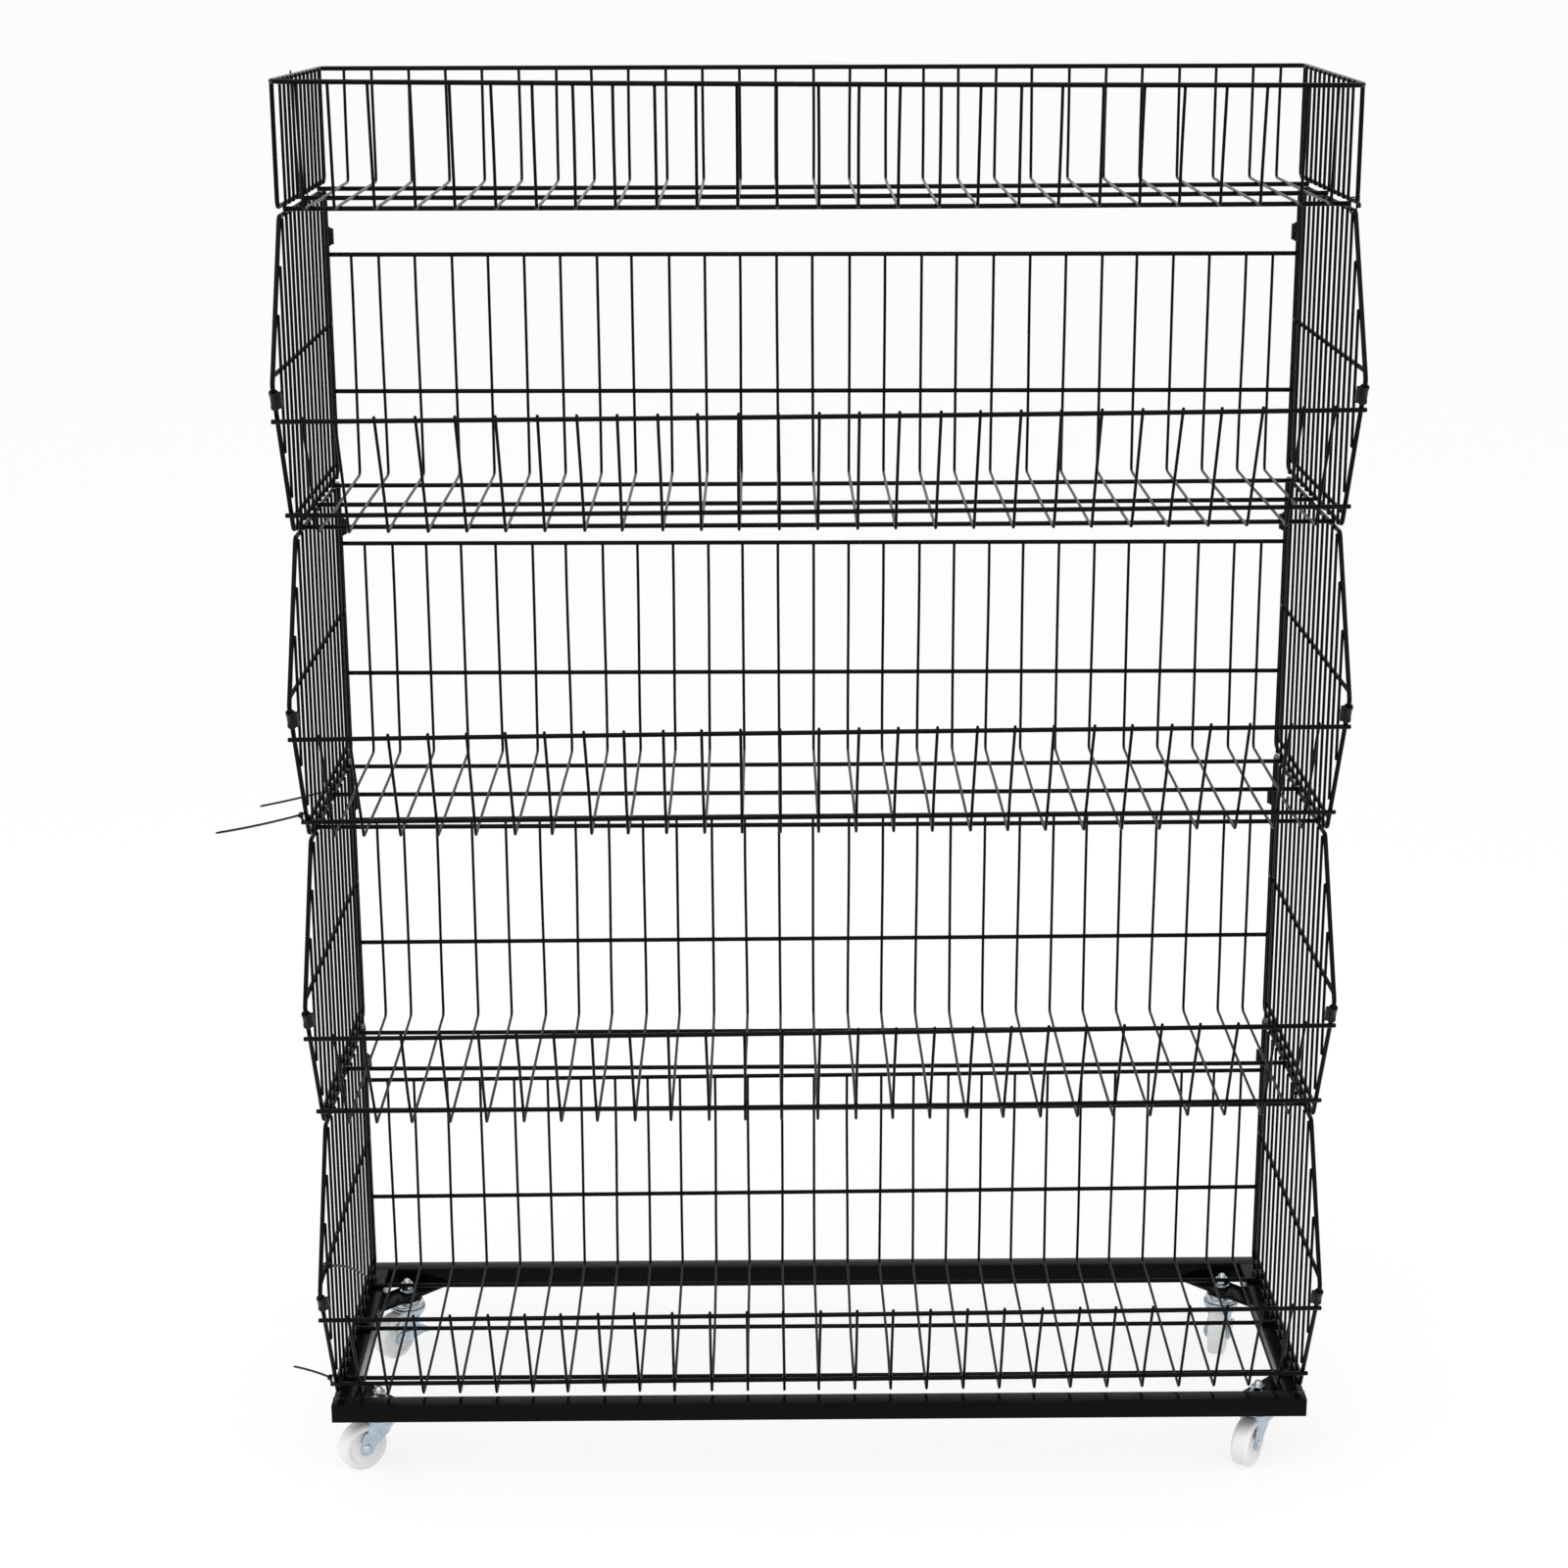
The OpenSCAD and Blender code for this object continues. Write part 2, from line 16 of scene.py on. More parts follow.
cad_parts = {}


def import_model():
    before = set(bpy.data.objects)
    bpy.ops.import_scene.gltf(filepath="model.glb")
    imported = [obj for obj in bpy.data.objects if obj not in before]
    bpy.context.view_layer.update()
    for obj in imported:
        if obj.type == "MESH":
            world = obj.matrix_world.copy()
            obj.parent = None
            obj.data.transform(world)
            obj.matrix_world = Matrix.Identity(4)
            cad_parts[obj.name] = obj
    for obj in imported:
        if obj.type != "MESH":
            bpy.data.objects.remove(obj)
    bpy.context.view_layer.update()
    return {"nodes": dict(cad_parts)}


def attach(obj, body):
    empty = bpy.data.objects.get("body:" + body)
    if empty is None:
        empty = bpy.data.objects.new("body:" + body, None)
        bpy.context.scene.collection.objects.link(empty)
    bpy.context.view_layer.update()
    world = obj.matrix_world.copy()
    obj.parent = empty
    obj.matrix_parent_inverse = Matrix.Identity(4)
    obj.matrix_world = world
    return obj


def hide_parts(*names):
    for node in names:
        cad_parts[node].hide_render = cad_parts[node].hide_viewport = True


LOG = logging.getLogger("rack")
MM = 0.001
Point = tuple[float, float, float]
Flat = tuple[float, float]
Piece = bpy.types.Object
LEFTWARDS = Vector((-1, 0, 0))
FACING = 0.9  # a face looks along an axis when its normal has more than this share of it


def clamp(value: float) -> float:
    """Returns a value held between 0 and 1."""
    return min(1.0, max(0.0, value))


def ease(share: float) -> float:
    """Returns a share from 0 to 1 that starts and ends gently."""
    return share * share * (3 - 2 * share)


# Sizes that the frame was built with


@dataclass(frozen=True)
class RackSizes:
    """Sizes of the rack in millimetres, the same as in the part's source."""

    # The base: its tubes, and the flat bars across its corners
    base_w: float = 1000.0
    base_d: float = 340.0
    tube: float = 20.0
    tube_wall: float = 1.5
    rail_z: float = 66.0
    strap_w: float = 30.0
    strap_t: float = 4.0
    strap_set: float = 33.0
    # Wire diameters, and how much fuller all round a wire is drawn here than it measures,
    # because at its own size it looks paler in a render than real wire does
    thin_d: float = 2.7
    thick_d: float = 4.3
    rung_d: float = 4.0
    fuller: float = 0.15
    # The wire panels: stack is the way from a thin wire's middle to a thick one's
    stack: float = 3.0
    wire_count: int = 27
    wire_x: float = 471.5
    wire_end_gap: float = 28.5
    bend_r: float = 6.0
    pitch: float = 300.0
    first_floor: float = 91.4
    back_y: float = 150.0
    floor_d: float = 302.0
    cross_end: float = 496.0
    rim_end: float = 500.0
    cross_at: tuple[float, float, float] = (46.0, 151.0, 264.0)
    back_h: float = 225.0
    mid_h: float = 85.0
    lip_h: float = 119.0
    lip_run: float = 63.0
    lip_low_h: float = 21.0
    nub: float = 2.5
    # The side panels
    side_x: float = 495.2
    inset: float = 1.55
    side_top: float = 292.45
    side_mid_h: float = 157.0
    side_pitch: float = 24.5
    hairpin: float = 12.0
    nose_h: float = 149.0
    shoulder_u: float = 294.0
    # The top basket
    top_h: float = 111.0
    top_lean: float = 12.0
    top_corner_r: float = 16.0
    # The lock sleeves
    sleeve_l: float = 19.0
    sleeve_gap: float = 9.0
    sleeve_d: float = 8.8

    def wire_at(self, i: int) -> float:
        """Says where a thin wire stands across the rack.

        Args:
            i: the wire's number, counted from the left.

        Returns:
            Its place along X.
        """
        inner = self.wire_x - self.wire_end_gap
        if i == 0:
            return -self.wire_x
        if i == self.wire_count - 1:
            return self.wire_x
        return -inner + (i - 1) * 2 * inner / (self.wire_count - 3)

    def drawn(self, wire_d: float) -> float:
        """Returns the diameter that a wire of a measured diameter is drawn with."""
        return wire_d + 2 * self.fuller

    def floor_z(self, tier: int) -> float:
        """Returns the height of a tier's floor wires, counted from 1 at the bottom."""
        return self.first_floor + (tier - 1) * self.pitch

    def place(self, tier: int, x: float, u: float, h: float) -> Point:
        """Returns a place in the rack, u forward of the back wires and h over a tier's floor."""
        return (x, self.back_y - u, self.floor_z(tier) + h)

    def lip_angle(self) -> float:
        """Returns the slope of a tall basket's front lip in radians."""
        return math.atan2(self.lip_h, self.lip_run)

    def inner_u(self, h: float) -> float:
        """Returns how far forward a side panel's front edge lies at a height."""
        run = self.lip_run * h / self.lip_h
        return self.floor_d + run - self.inset / math.sin(self.lip_angle())


SIZES = RackSizes()


class Side(Enum):
    """The two ends of the rack, seen from the front."""

    LEFT = -1
    RIGHT = 1


class Corner(Enum):
    """The four casters: name, sign along X, sign along Y and the way that each trails."""

    FRONT_LEFT = ("front_left", -1, -1, 215.0)
    FRONT_RIGHT = ("front_right", 1, -1, 238.0)
    BACK_LEFT = ("back_left", -1, 1, 229.0)
    BACK_RIGHT = ("back_right", 1, 1, 255.0)

    @property
    def label(self) -> str:
        """Returns the corner's name in the frame."""
        return self.value[0]

    @property
    def place(self) -> Point:
        """Works out where the swivel axis stands.

        Returns:
            Its foot on the floor in millimetres.
        """
        reach = SIZES.strap_set / math.sqrt(2)
        x = SIZES.base_w / 2 - SIZES.tube - reach
        y = SIZES.base_d / 2 - SIZES.tube - reach
        return (self.value[1] * x, self.value[2] * y, 0.0)

    @property
    def heading(self) -> float:
        """Returns the direction of the trail in radians from +X."""
        return math.radians(self.value[3])


# Finishes


def linear(colour: str) -> tuple[float, float, float, float]:
    """Turns an sRGB hex colour into the linear values that a shader takes.

    Args:
        colour: six hex digits after a hash sign.

    Returns:
        Red, green, blue and alpha.
    """
    parts = [int(colour[i : i + 2], 16) / 255 for i in (1, 3, 5)]
    flat = [c / 12.92 if c <= 0.04045 else ((c + 0.055) / 1.055) ** 2.4 for c in parts]
    return (flat[0], flat[1], flat[2], 1.0)


def add_node(tree: bpy.types.NodeTree, kind: str, sockets: dict, links: Sequence[tuple] = (),
             **settings: object) -> bpy.types.Node:
    """Adds one shader node with its settings, socket values and incoming links.

    Args:
        tree: the node tree.
        kind: the node's type name.
        sockets: socket name or number to value.
        links: pairs of (output socket, name or number of this node's input).
        settings: properties of the node itself.

    Returns:
        The new node.
    """
    node = tree.nodes.new(kind)
    for name, value in settings.items():
        setattr(node, name, value)
    for name, value in sockets.items():
        node.inputs[name].default_value = value
    for output, name in links:
        tree.links.new(output, node.inputs[name])
    return node


@dataclass(frozen=True)
class Finish:
    """A surface finish: colours, gloss and the relief that its making leaves.

    The colour wanders between two tones in patches of patch_mm. The gloss and the relief
    follow one fine pattern of relief_mm.
    """

    name: str
    colour: str
    second: str
    patch_mm: float
    roughness: float
    rough_swing: float
    relief_mm: float
    relief: float
    metallic: float = 0.0
    ior: float = 1.5
    subsurface: float = 0.0
    relief_depth: float = 0.0002

    def build(self) -> bpy.types.Material:
        """Makes the procedural material: broken colour, uneven gloss and fine relief.

        Returns:
            The material.
        """
        made = bpy.data.materials.new(self.name)
        made.use_nodes = True
        tree = made.node_tree
        shader = tree.nodes["Principled BSDF"]
        place = add_node(tree, "ShaderNodeTexCoord", {})
        patches = add_node(
            tree, "ShaderNodeTexNoise",
            {"Scale": 1 / (self.patch_mm * MM), "Detail": 4.0, "Roughness": 0.6},
            [(place.outputs["Object"], "Vector")])
        fine = add_node(
            tree, "ShaderNodeTexNoise",
            {"Scale": 1 / (self.relief_mm * MM), "Detail": 3.0, "Roughness": 0.55},
            [(place.outputs["Object"], "Vector")])
        colours = add_node(tree, "ShaderNodeValToRGB", {}, [(patches.outputs["Fac"], "Fac")])
        stops = colours.color_ramp.elements
        for stop, (at, tone) in zip(stops, ((0.32, self.colour), (0.7, self.second))):
            stop.position = at
            stop.color = linear(tone)
        gloss = add_node(
            tree, "ShaderNodeMapRange",
            {"From Min": 0.3, "From Max": 0.7,
             "To Min": max(0.0, self.roughness - self.rough_swing),
             "To Max": self.roughness + self.rough_swing},
            [(fine.outputs["Fac"], "Value")])
        bump = add_node(
            tree, "ShaderNodeBump", {"Strength": self.relief, "Distance": self.relief_depth},
            [(fine.outputs["Fac"], "Height")])
        tree.links.new(colours.outputs["Color"], shader.inputs["Base Color"])
        tree.links.new(gloss.outputs["Result"], shader.inputs["Roughness"])
        tree.links.new(bump.outputs["Normal"], shader.inputs["Normal"])
        shader.inputs["Metallic"].default_value = self.metallic
        if not self.metallic:
            shader.inputs["IOR"].default_value = self.ior
        if self.subsurface:
            shader.inputs["Subsurface Weight"].default_value = self.subsurface
            shader.inputs["Subsurface Radius"].default_value = (0.004, 0.0035, 0.003)
        return made


# Powder coat, sprayed and baked: black, glossy, with the shallow ripple of an orange skin
WIRE_COAT = Finish("powder_coat_on_wire", "#030304", "#070709", 60.0, 0.24, 0.05, 1.4, 0.25,
                   ior=1.15)
# The same coat on the wide faces of the tube, where the ripple shows as a soft reflection
TUBE_COAT = Finish("powder_coat_on_tube", "#050506", "#09090a", 45.0, 0.2, 0.05, 2.2, 0.35,
                   ior=1.15)
# Bright zinc plating with a blue passivation: metallic, cool, faintly cloudy
ZINC = Finish("blue_zinc_plating", "#9dafbd", "#bfcad2", 9.0, 0.3, 0.08, 0.9, 0.3, metallic=1.0)
# Zinc on turned and rolled pieces: brighter, smoother, less blue. Its fine scratches are drawn
# coarser than they are, so that they show
TURNED_ZINC = Finish("turned_zinc_plating", "#a9b2b8", "#ced4d8", 6.0, 0.2, 0.06, 0.5, 0.25,
                     metallic=1.0)
# Hardened ball steel, polished to an even shine, its traces of wear drawn coarser than they are
BALL_STEEL = Finish("polished_ball_steel", "#9a9da0", "#aeb1b4", 4.0, 0.1, 0.03, 0.4, 0.1,
                    metallic=1.0)
# Injection moulded nylon 6: milky white, satin, slightly see-through at the edges
WHITE_NYLON = Finish("moulded_white_nylon", "#e4e4e3", "#e7e7e6", 12.0, 0.38, 0.06, 1.2, 0.2,
                     ior=1.53, subsurface=0.08)
# Moulded black nylon 6.6 of the ties and lock sleeves: satin. The grain that a spark-eroded
# mould leaves is drawn coarser than it is, so that it shows
BLACK_NYLON = Finish("moulded_black_nylon", "#050506", "#0b0b0c", 8.0, 0.4, 0.08, 0.6, 0.5,
                     ior=1.28)


class Palette:
    """All finishes as materials, each made when it is first asked for."""

    def __init__(self) -> None:
        """Starts with no material made."""
        self._made: dict[str, bpy.types.Material] = {}

    def of(self, finish: Finish) -> bpy.types.Material:
        """Gives the material of a finish, and makes it at the first call.

        Args:
            finish: the finish.

        Returns:
            Its material.
        """
        if finish.name not in self._made:
            self._made[finish.name] = finish.build()
        return self._made[finish.name]


PALETTE = Palette()


# Workshop: the hand tools that shape every piece


class Shop:
    """Steps that several pieces share, made of Blender's own operators."""

    @staticmethod
    def clear() -> None:
        """Leaves edit mode and deselects every object."""
        if bpy.context.object and bpy.context.object.mode != "OBJECT":
            bpy.ops.object.mode_set(mode="OBJECT")
        bpy.ops.object.select_all(action="DESELECT")

    @staticmethod
    def take(*pieces: Piece) -> None:
        """Selects some objects alone and makes the first of them active.

        Args:
            pieces: the objects.
        """
        Shop.clear()
        for piece in pieces:
            piece.select_set(True)
        bpy.context.view_layer.objects.active = pieces[0]

    @staticmethod
    def edit(piece: Piece) -> None:
        """Opens a piece in edit mode with all its faces selected.

        Args:
            piece: the piece.
        """
        Shop.take(piece)
        bpy.ops.object.mode_set(mode="EDIT")
        bpy.ops.mesh.select_mode(type="FACE")
        bpy.ops.mesh.select_all(action="SELECT")

    @staticmethod
    def pick_faces(piece: Piece, test: Callable[[Vector, Vector], bool]) -> None:
        """Selects the faces of a piece in edit mode by their middle and normal.

        Args:
            piece: the piece, open in edit mode.
            test: says of a face's middle and normal whether it is wanted.
        """
        bpy.ops.mesh.select_all(action="DESELECT")
        bpy.ops.object.mode_set(mode="OBJECT")
        for face in piece.data.polygons:
            face.select = test(face.center, face.normal)
        bpy.ops.object.mode_set(mode="EDIT")

    @staticmethod
    def pick_ends(piece: Piece, ends: Sequence[Vector]) -> None:
        """Selects the vertices of an open profile that lie at its two ends.

        Args:
            piece: the profile, open in edit mode.
            ends: the two ends in metres.
        """
        same_place = 1e-7
        bpy.ops.mesh.select_all(action="DESELECT")
        bpy.ops.object.mode_set(mode="OBJECT")
        for vertex in piece.data.vertices:
            vertex.select = any((vertex.co - end).length < same_place for end in ends)
        bpy.ops.object.mode_set(mode="EDIT")

    @staticmethod
    def extrude(step: Vector) -> None:
        """Extrudes what is selected in edit mode by a step in metres."""
        bpy.ops.mesh.extrude_region_move(TRANSFORM_OT_translate={"value": step})

    @staticmethod
    def settle() -> None:
        """Closes the piece in hand: normals outwards, edit mode left, its place applied."""
        if bpy.context.object.mode == "EDIT":
            bpy.ops.mesh.select_all(action="SELECT")
            bpy.ops.mesh.normals_make_consistent(inside=False)
            bpy.ops.object.mode_set(mode="OBJECT")
        bpy.ops.object.transform_apply(location=True, rotation=True, scale=True)

    @staticmethod
    def bevel(piece: Piece, width_mm: float, segments: int = 2, angle: float = 40.0) -> None:
        """Rounds the sharp edges of a finished mesh with an applied Bevel modifier.

        Args:
            piece: the piece.
            width_mm: width of the rounding in millimetres.
            segments: segments of the rounding.
            angle: edges that turn by more than this, in degrees, are rounded.
        """
        Shop.take(piece)
        tool = piece.modifiers.new("edge_round", "BEVEL")
        tool.width = width_mm * MM
        tool.segments = segments
        tool.limit_method = "ANGLE"
        tool.angle_limit = math.radians(angle)
        bpy.ops.object.modifier_apply(modifier=tool.name)

    @staticmethod
    def smooth(piece: Piece, angle: float) -> None:
        """Shades a piece smooth, with edges sharper than an angle in degrees left crisp."""
        Shop.take(piece)
        bpy.ops.object.shade_smooth_by_angle(angle=math.radians(angle))

    @staticmethod
    def place(piece: Piece, *moves: Matrix) -> Piece:
        """Moves a piece and applies the move to its mesh.

        Args:
            piece: the piece.
            moves: transforms in millimetres, made one after the other.

        Returns:
            The piece, with its object at the origin.
        """
        whole = Matrix.Identity(4)
        for move in moves:
            whole = move @ whole
        mirrored = whole.determinant() < 0
        whole.translation = whole.translation * MM
        Shop.take(piece)
        piece.matrix_world = whole
        bpy.ops.object.transform_apply(location=True, rotation=True, scale=True)
        if mirrored:
            Shop.edit(piece)
            Shop.settle()
        return piece

    @staticmethod
    def copy(piece: Piece, *moves: Matrix) -> Piece:
        """Copies a piece with a mesh of its own and places the copy.

        Args:
            piece: the piece that is copied.
            moves: transforms in millimetres, made one after the other.

        Returns:
            The copy.
        """
        twin = piece.copy()
        twin.data = piece.data.copy()
        bpy.context.scene.collection.objects.link(twin)
        return Shop.place(twin, *moves)

    @staticmethod
    def shift(x: float, y: float, z: float) -> Matrix:
        """Returns a move in millimetres."""
        return Matrix.Translation((x, y, z))

    @staticmethod
    def spin(angle: float, axis: str) -> Matrix:
        """Returns a turn by an angle in radians round an axis."""
        return Matrix.Rotation(angle, 4, axis)

    @staticmethod
    def join(name: str, pieces: Iterable[Piece]) -> Piece:
        """Joins pieces into one object.

        Args:
            name: the name of the whole.
            pieces: the pieces, two or more.

        Returns:
            The whole.
        """
        group = list(pieces)
        Shop.take(*group)
        bpy.ops.object.join()
        group[0].name = name
        group[0].data.name = name
        return group[0]

    @staticmethod
    def trace(points: Sequence[Vector]) -> Piece:
        """Draws a line from point to point: a plane drawn in to one vertex, then extruded.

        Args:
            points: the line's points in metres.

        Returns:
            The line, open in edit mode with all of it selected.
        """
        Shop.clear()
        bpy.ops.mesh.primitive_plane_add(size=MM, location=(0, 0, 0))
        piece = bpy.context.object
        bpy.ops.object.mode_set(mode="EDIT")
        bpy.ops.mesh.select_mode(type="VERT")
        bpy.ops.mesh.select_all(action="SELECT")
        bpy.ops.mesh.merge(type="CENTER")
        bpy.ops.transform.translate(value=points[0])
        for a, b in zip(points, points[1:]):
            Shop.extrude(b - a)
        bpy.ops.mesh.select_all(action="SELECT")
        return piece

    @staticmethod
    def outline(points: Sequence[Flat]) -> Piece:
        """Draws a closed outline in the plane X and Y and fills it.

        Args:
            points: corners in millimetres, anticlockwise.

        Returns:
            The flat piece, open in edit mode with its face selected.
        """
        piece = Shop.trace([Vector((*point, 0)) * MM for point in points])
        bpy.ops.mesh.edge_face_add()
        bpy.ops.mesh.select_mode(type="FACE")
        bpy.ops.mesh.select_all(action="SELECT")
        return piece

    @staticmethod
    def sheet(name: str, points: Sequence[Flat], thickness: float, round_mm: float,
              segments: int = 2) -> Piece:
        """Cuts a plate from sheet metal: an outline, extruded and its edges rounded.

        Args:
            name: the piece's name.
            points: corners of the outline in millimetres, anticlockwise.
            thickness: thickness in millimetres, upwards from Z = 0.
            round_mm: radius of the rounded edges.
            segments: segments of the rounding.

        Returns:
            The plate.
        """
        piece = Shop.outline(points)
        Shop.extrude(Vector((0, 0, thickness * MM)))
        Shop.settle()
        Shop.bevel(piece, round_mm, segments)
        piece.name = name
        return piece

    @staticmethod
    def turned(name: str, profile: Sequence[Flat], steps: int, closed: bool = True) -> Piece:
        """Turns a profile round the Z axis, as on a lathe.

        Args:
            name: the piece's name.
            profile: points (radius, height) in millimetres.
            steps: segments of the full turn.
            closed: whether the profile's last point joins its first.

        Returns:
            The turned piece.
        """
        line = [Vector((r, 0, z)) * MM for r, z in profile]
        piece = Shop.trace(line)
        if closed:
            Shop.pick_ends(piece, (line[0], line[-1]))
            bpy.ops.mesh.edge_face_add()
            bpy.ops.mesh.select_all(action="SELECT")
        bpy.ops.mesh.spin(steps=steps, angle=math.tau, center=(0, 0, 0), axis=(0, 0, 1))
        bpy.ops.mesh.select_all(action="SELECT")
        bpy.ops.mesh.remove_doubles(threshold=0.000002)
        Shop.settle()
        piece.name = name
        return piece

    @staticmethod
    def paint(piece: Piece, finish: Finish) -> None:
        """Gives the whole of a piece one finish.

        Args:
            piece: the piece.
            finish: its finish.
        """
        piece.data.materials.clear()
        piece.data.materials.append(PALETTE.of(finish))
        for face in piece.data.polygons:
            face.material_index = 0

    @staticmethod
    def dress(piece: Piece, finish: Finish, body: str, slot: str, nodes: Sequence[str]) -> None:
        """Gives a finished piece its material, its body and the nodes that it stands for.

        Args:
            piece: the piece.
            finish: its finish.
            body: the body that it rides on.
            slot: the name of a material slot; not used.
            nodes: the frame's nodes that it replaces.
        """
        Shop.paint(piece, finish)
        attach(piece, body)
        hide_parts(*nodes)
        LOG.info("%s: %d faces on %s", piece.name, len(piece.data.polygons), body)


class Wire:
    """A wire or strip drawn out of its own cross-section, run by run and bend by bend."""

    def __init__(self, start: Sequence[float], heading: Vector, diameter: float = 0.0,
                 sides: int = 10, strip: Optional[tuple[float, float, Vector]] = None) -> None:
        """Puts the cross-section at the wire's start.

        Args:
            start: the start in millimetres.
            heading: the direction of the first run.
            diameter: diameter of a round wire in millimetres.
            sides: sides of a round wire.
            strip: width, thickness and the direction of the width, for a flat strip.
        """
        Shop.clear()
        self.at = Vector(start)
        self.heading = heading.normalized()
        if strip:
            width, thickness, across = strip
            third = self.heading.cross(across.normalized())
            turn = Matrix((across.normalized(), third, self.heading)).transposed().to_euler()
            bpy.ops.mesh.primitive_plane_add(size=1, location=self.at * MM, rotation=turn)
            bpy.context.object.scale = (width * MM, thickness * MM, 1)
        else:
            turn = self.heading.to_track_quat("Z", "Y").to_euler()
            bpy.ops.mesh.primitive_circle_add(vertices=sides, radius=diameter / 2 * MM,
                                              fill_type="NGON", location=self.at * MM,
                                              rotation=turn)
        self.piece = bpy.context.object
        bpy.ops.object.mode_set(mode="EDIT")
        bpy.ops.mesh.select_mode(type="FACE")
        bpy.ops.mesh.select_all(action="SELECT")

    def run(self, length: float, cuts: int = 1) -> "Wire":
        """Extrudes the end straight on.

        Args:
            length: how far in millimetres.
            cuts: number of equal lengths that it is drawn in.

        Returns:
            This wire.
        """
        for _ in range(cuts):
            step = self.heading * length / cuts
            Shop.extrude(step * MM)
            self.at += step
        return self

    def bend(self, axis: Vector, angle: float, radius: float, steps: int) -> "Wire":
        """Bends the end round an axis, by the right-hand rule.

        Args:
            axis: direction of the axis.
            angle: angle in radians.
            radius: radius of the wire's middle in millimetres.
            steps: segments of the bend.

        Returns:
            This wire.
        """
        axis = axis.normalized() * math.copysign(1, angle)
        angle = abs(angle)
        centre = self.at + axis.cross(self.heading) * radius
        bpy.ops.mesh.spin(steps=steps, angle=-angle, center=centre * MM, axis=axis)
        turn = Matrix.Rotation(angle, 3, axis)
        self.at = centre + turn @ (self.at - centre)
        self.heading = turn @ self.heading
        return self

    def taper(self, share: float) -> "Wire":
        """Draws the end's cross-section in to a share of its size."""
        bpy.ops.transform.resize(value=(share, share, share), center_override=self.at * MM)
        return self

    def finish(self, name: str, smooth: float = 50.0) -> Piece:
        """Closes the wire and shades it smooth.

        Args:
            name: the piece's name.
            smooth: edges that turn by more than this, in degrees, stay crisp.

        Returns:
            The wire as a piece.
        """
        Shop.settle()
        Shop.smooth(self.piece, smooth)
        self.piece.name = name
        return self.piece


def bent_wire(name: str, points: Sequence[Point], radius: float, diameter: float, sides: int,
              closed: bool = False) -> Piece:
    """Bends a wire through the corners of a path.

    Args:
        name: the piece's name.
        points: corners in millimetres.
        radius: centre radius of every bend.
        diameter: wire diameter.
        sides: sides of the cross-section.
        closed: whether the wire runs back to its start, which then lies in its first run.

    Returns:
        The wire.
    """
    cuts, steps = 3, 5
    path = [Vector(p) for p in points]
    if closed:
        middle = (path[0] + path[1]) / 2
        path = [middle, *path[1:], path[0], middle]
    ways = [(b - a).normalized() for a, b in zip(path, path[1:])]
    wire = Wire(path[0], ways[0], diameter, sides)
    for corner, way, ahead in zip(path[1:], ways, ways[1:]):
        angle = way.angle(ahead)
        back = radius * math.tan(angle / 2)
        wire.run((corner - wire.at).length - back, cuts)
        wire.bend(way.cross(ahead), angle, radius, steps)
    return wire.run((path[-1] - wire.at).length, cuts).finish(name)


def straight_wire(name: str, a: Point, b: Point, diameter: float, sides: int,
                  cuts: int) -> Piece:
    """Cuts a straight wire whose ends are rounded as a shear and the coat leave them.

    Args:
        name: the piece's name.
        a: its start in millimetres.
        b: its end in millimetres.
        diameter: wire diameter.
        sides: sides of the cross-section.
        cuts: number of lengths that its middle is drawn in.

    Returns:
        The wire.
    """
    start, end = Vector(a), Vector(b)
    tip, share = diameter * 0.16, 0.72
    wire = Wire(start, (end - start).normalized(), diameter * share, sides)
    wire.run(tip).taper(1 / share)
    wire.run((end - start).length - 2 * tip, cuts)
    wire.run(tip).taper(share)
    return wire.finish(name, 60.0)


def chance(*keys: int) -> float:
    """Draws a value that looks random but is the same at each run.

    Args:
        keys: whole numbers that tell this draw from others.

    Returns:
        A value from -1 to 1.
    """
    factors, spread = (12.9898, 78.233, 37.719, 4.581), 43758.5453
    value = math.sin(sum(k * f for k, f in zip(keys, factors))) * spread
    return 2 * (value - math.floor(value)) - 1


# Baskets


@dataclass(frozen=True)
class Tilt:
    """How far a basket's rims rise to the right: millimetres at the rack's end."""

    front: float
    back: float


@dataclass(frozen=True)
class Crossing:
    """A thick wire across a basket, in the plane of forward places u and heights h.

    It has its place, its half length and the direction in which it lies off the thin wires.
    """

    u: float
    h: float
    half: float
    out_u: float
    out_h: float


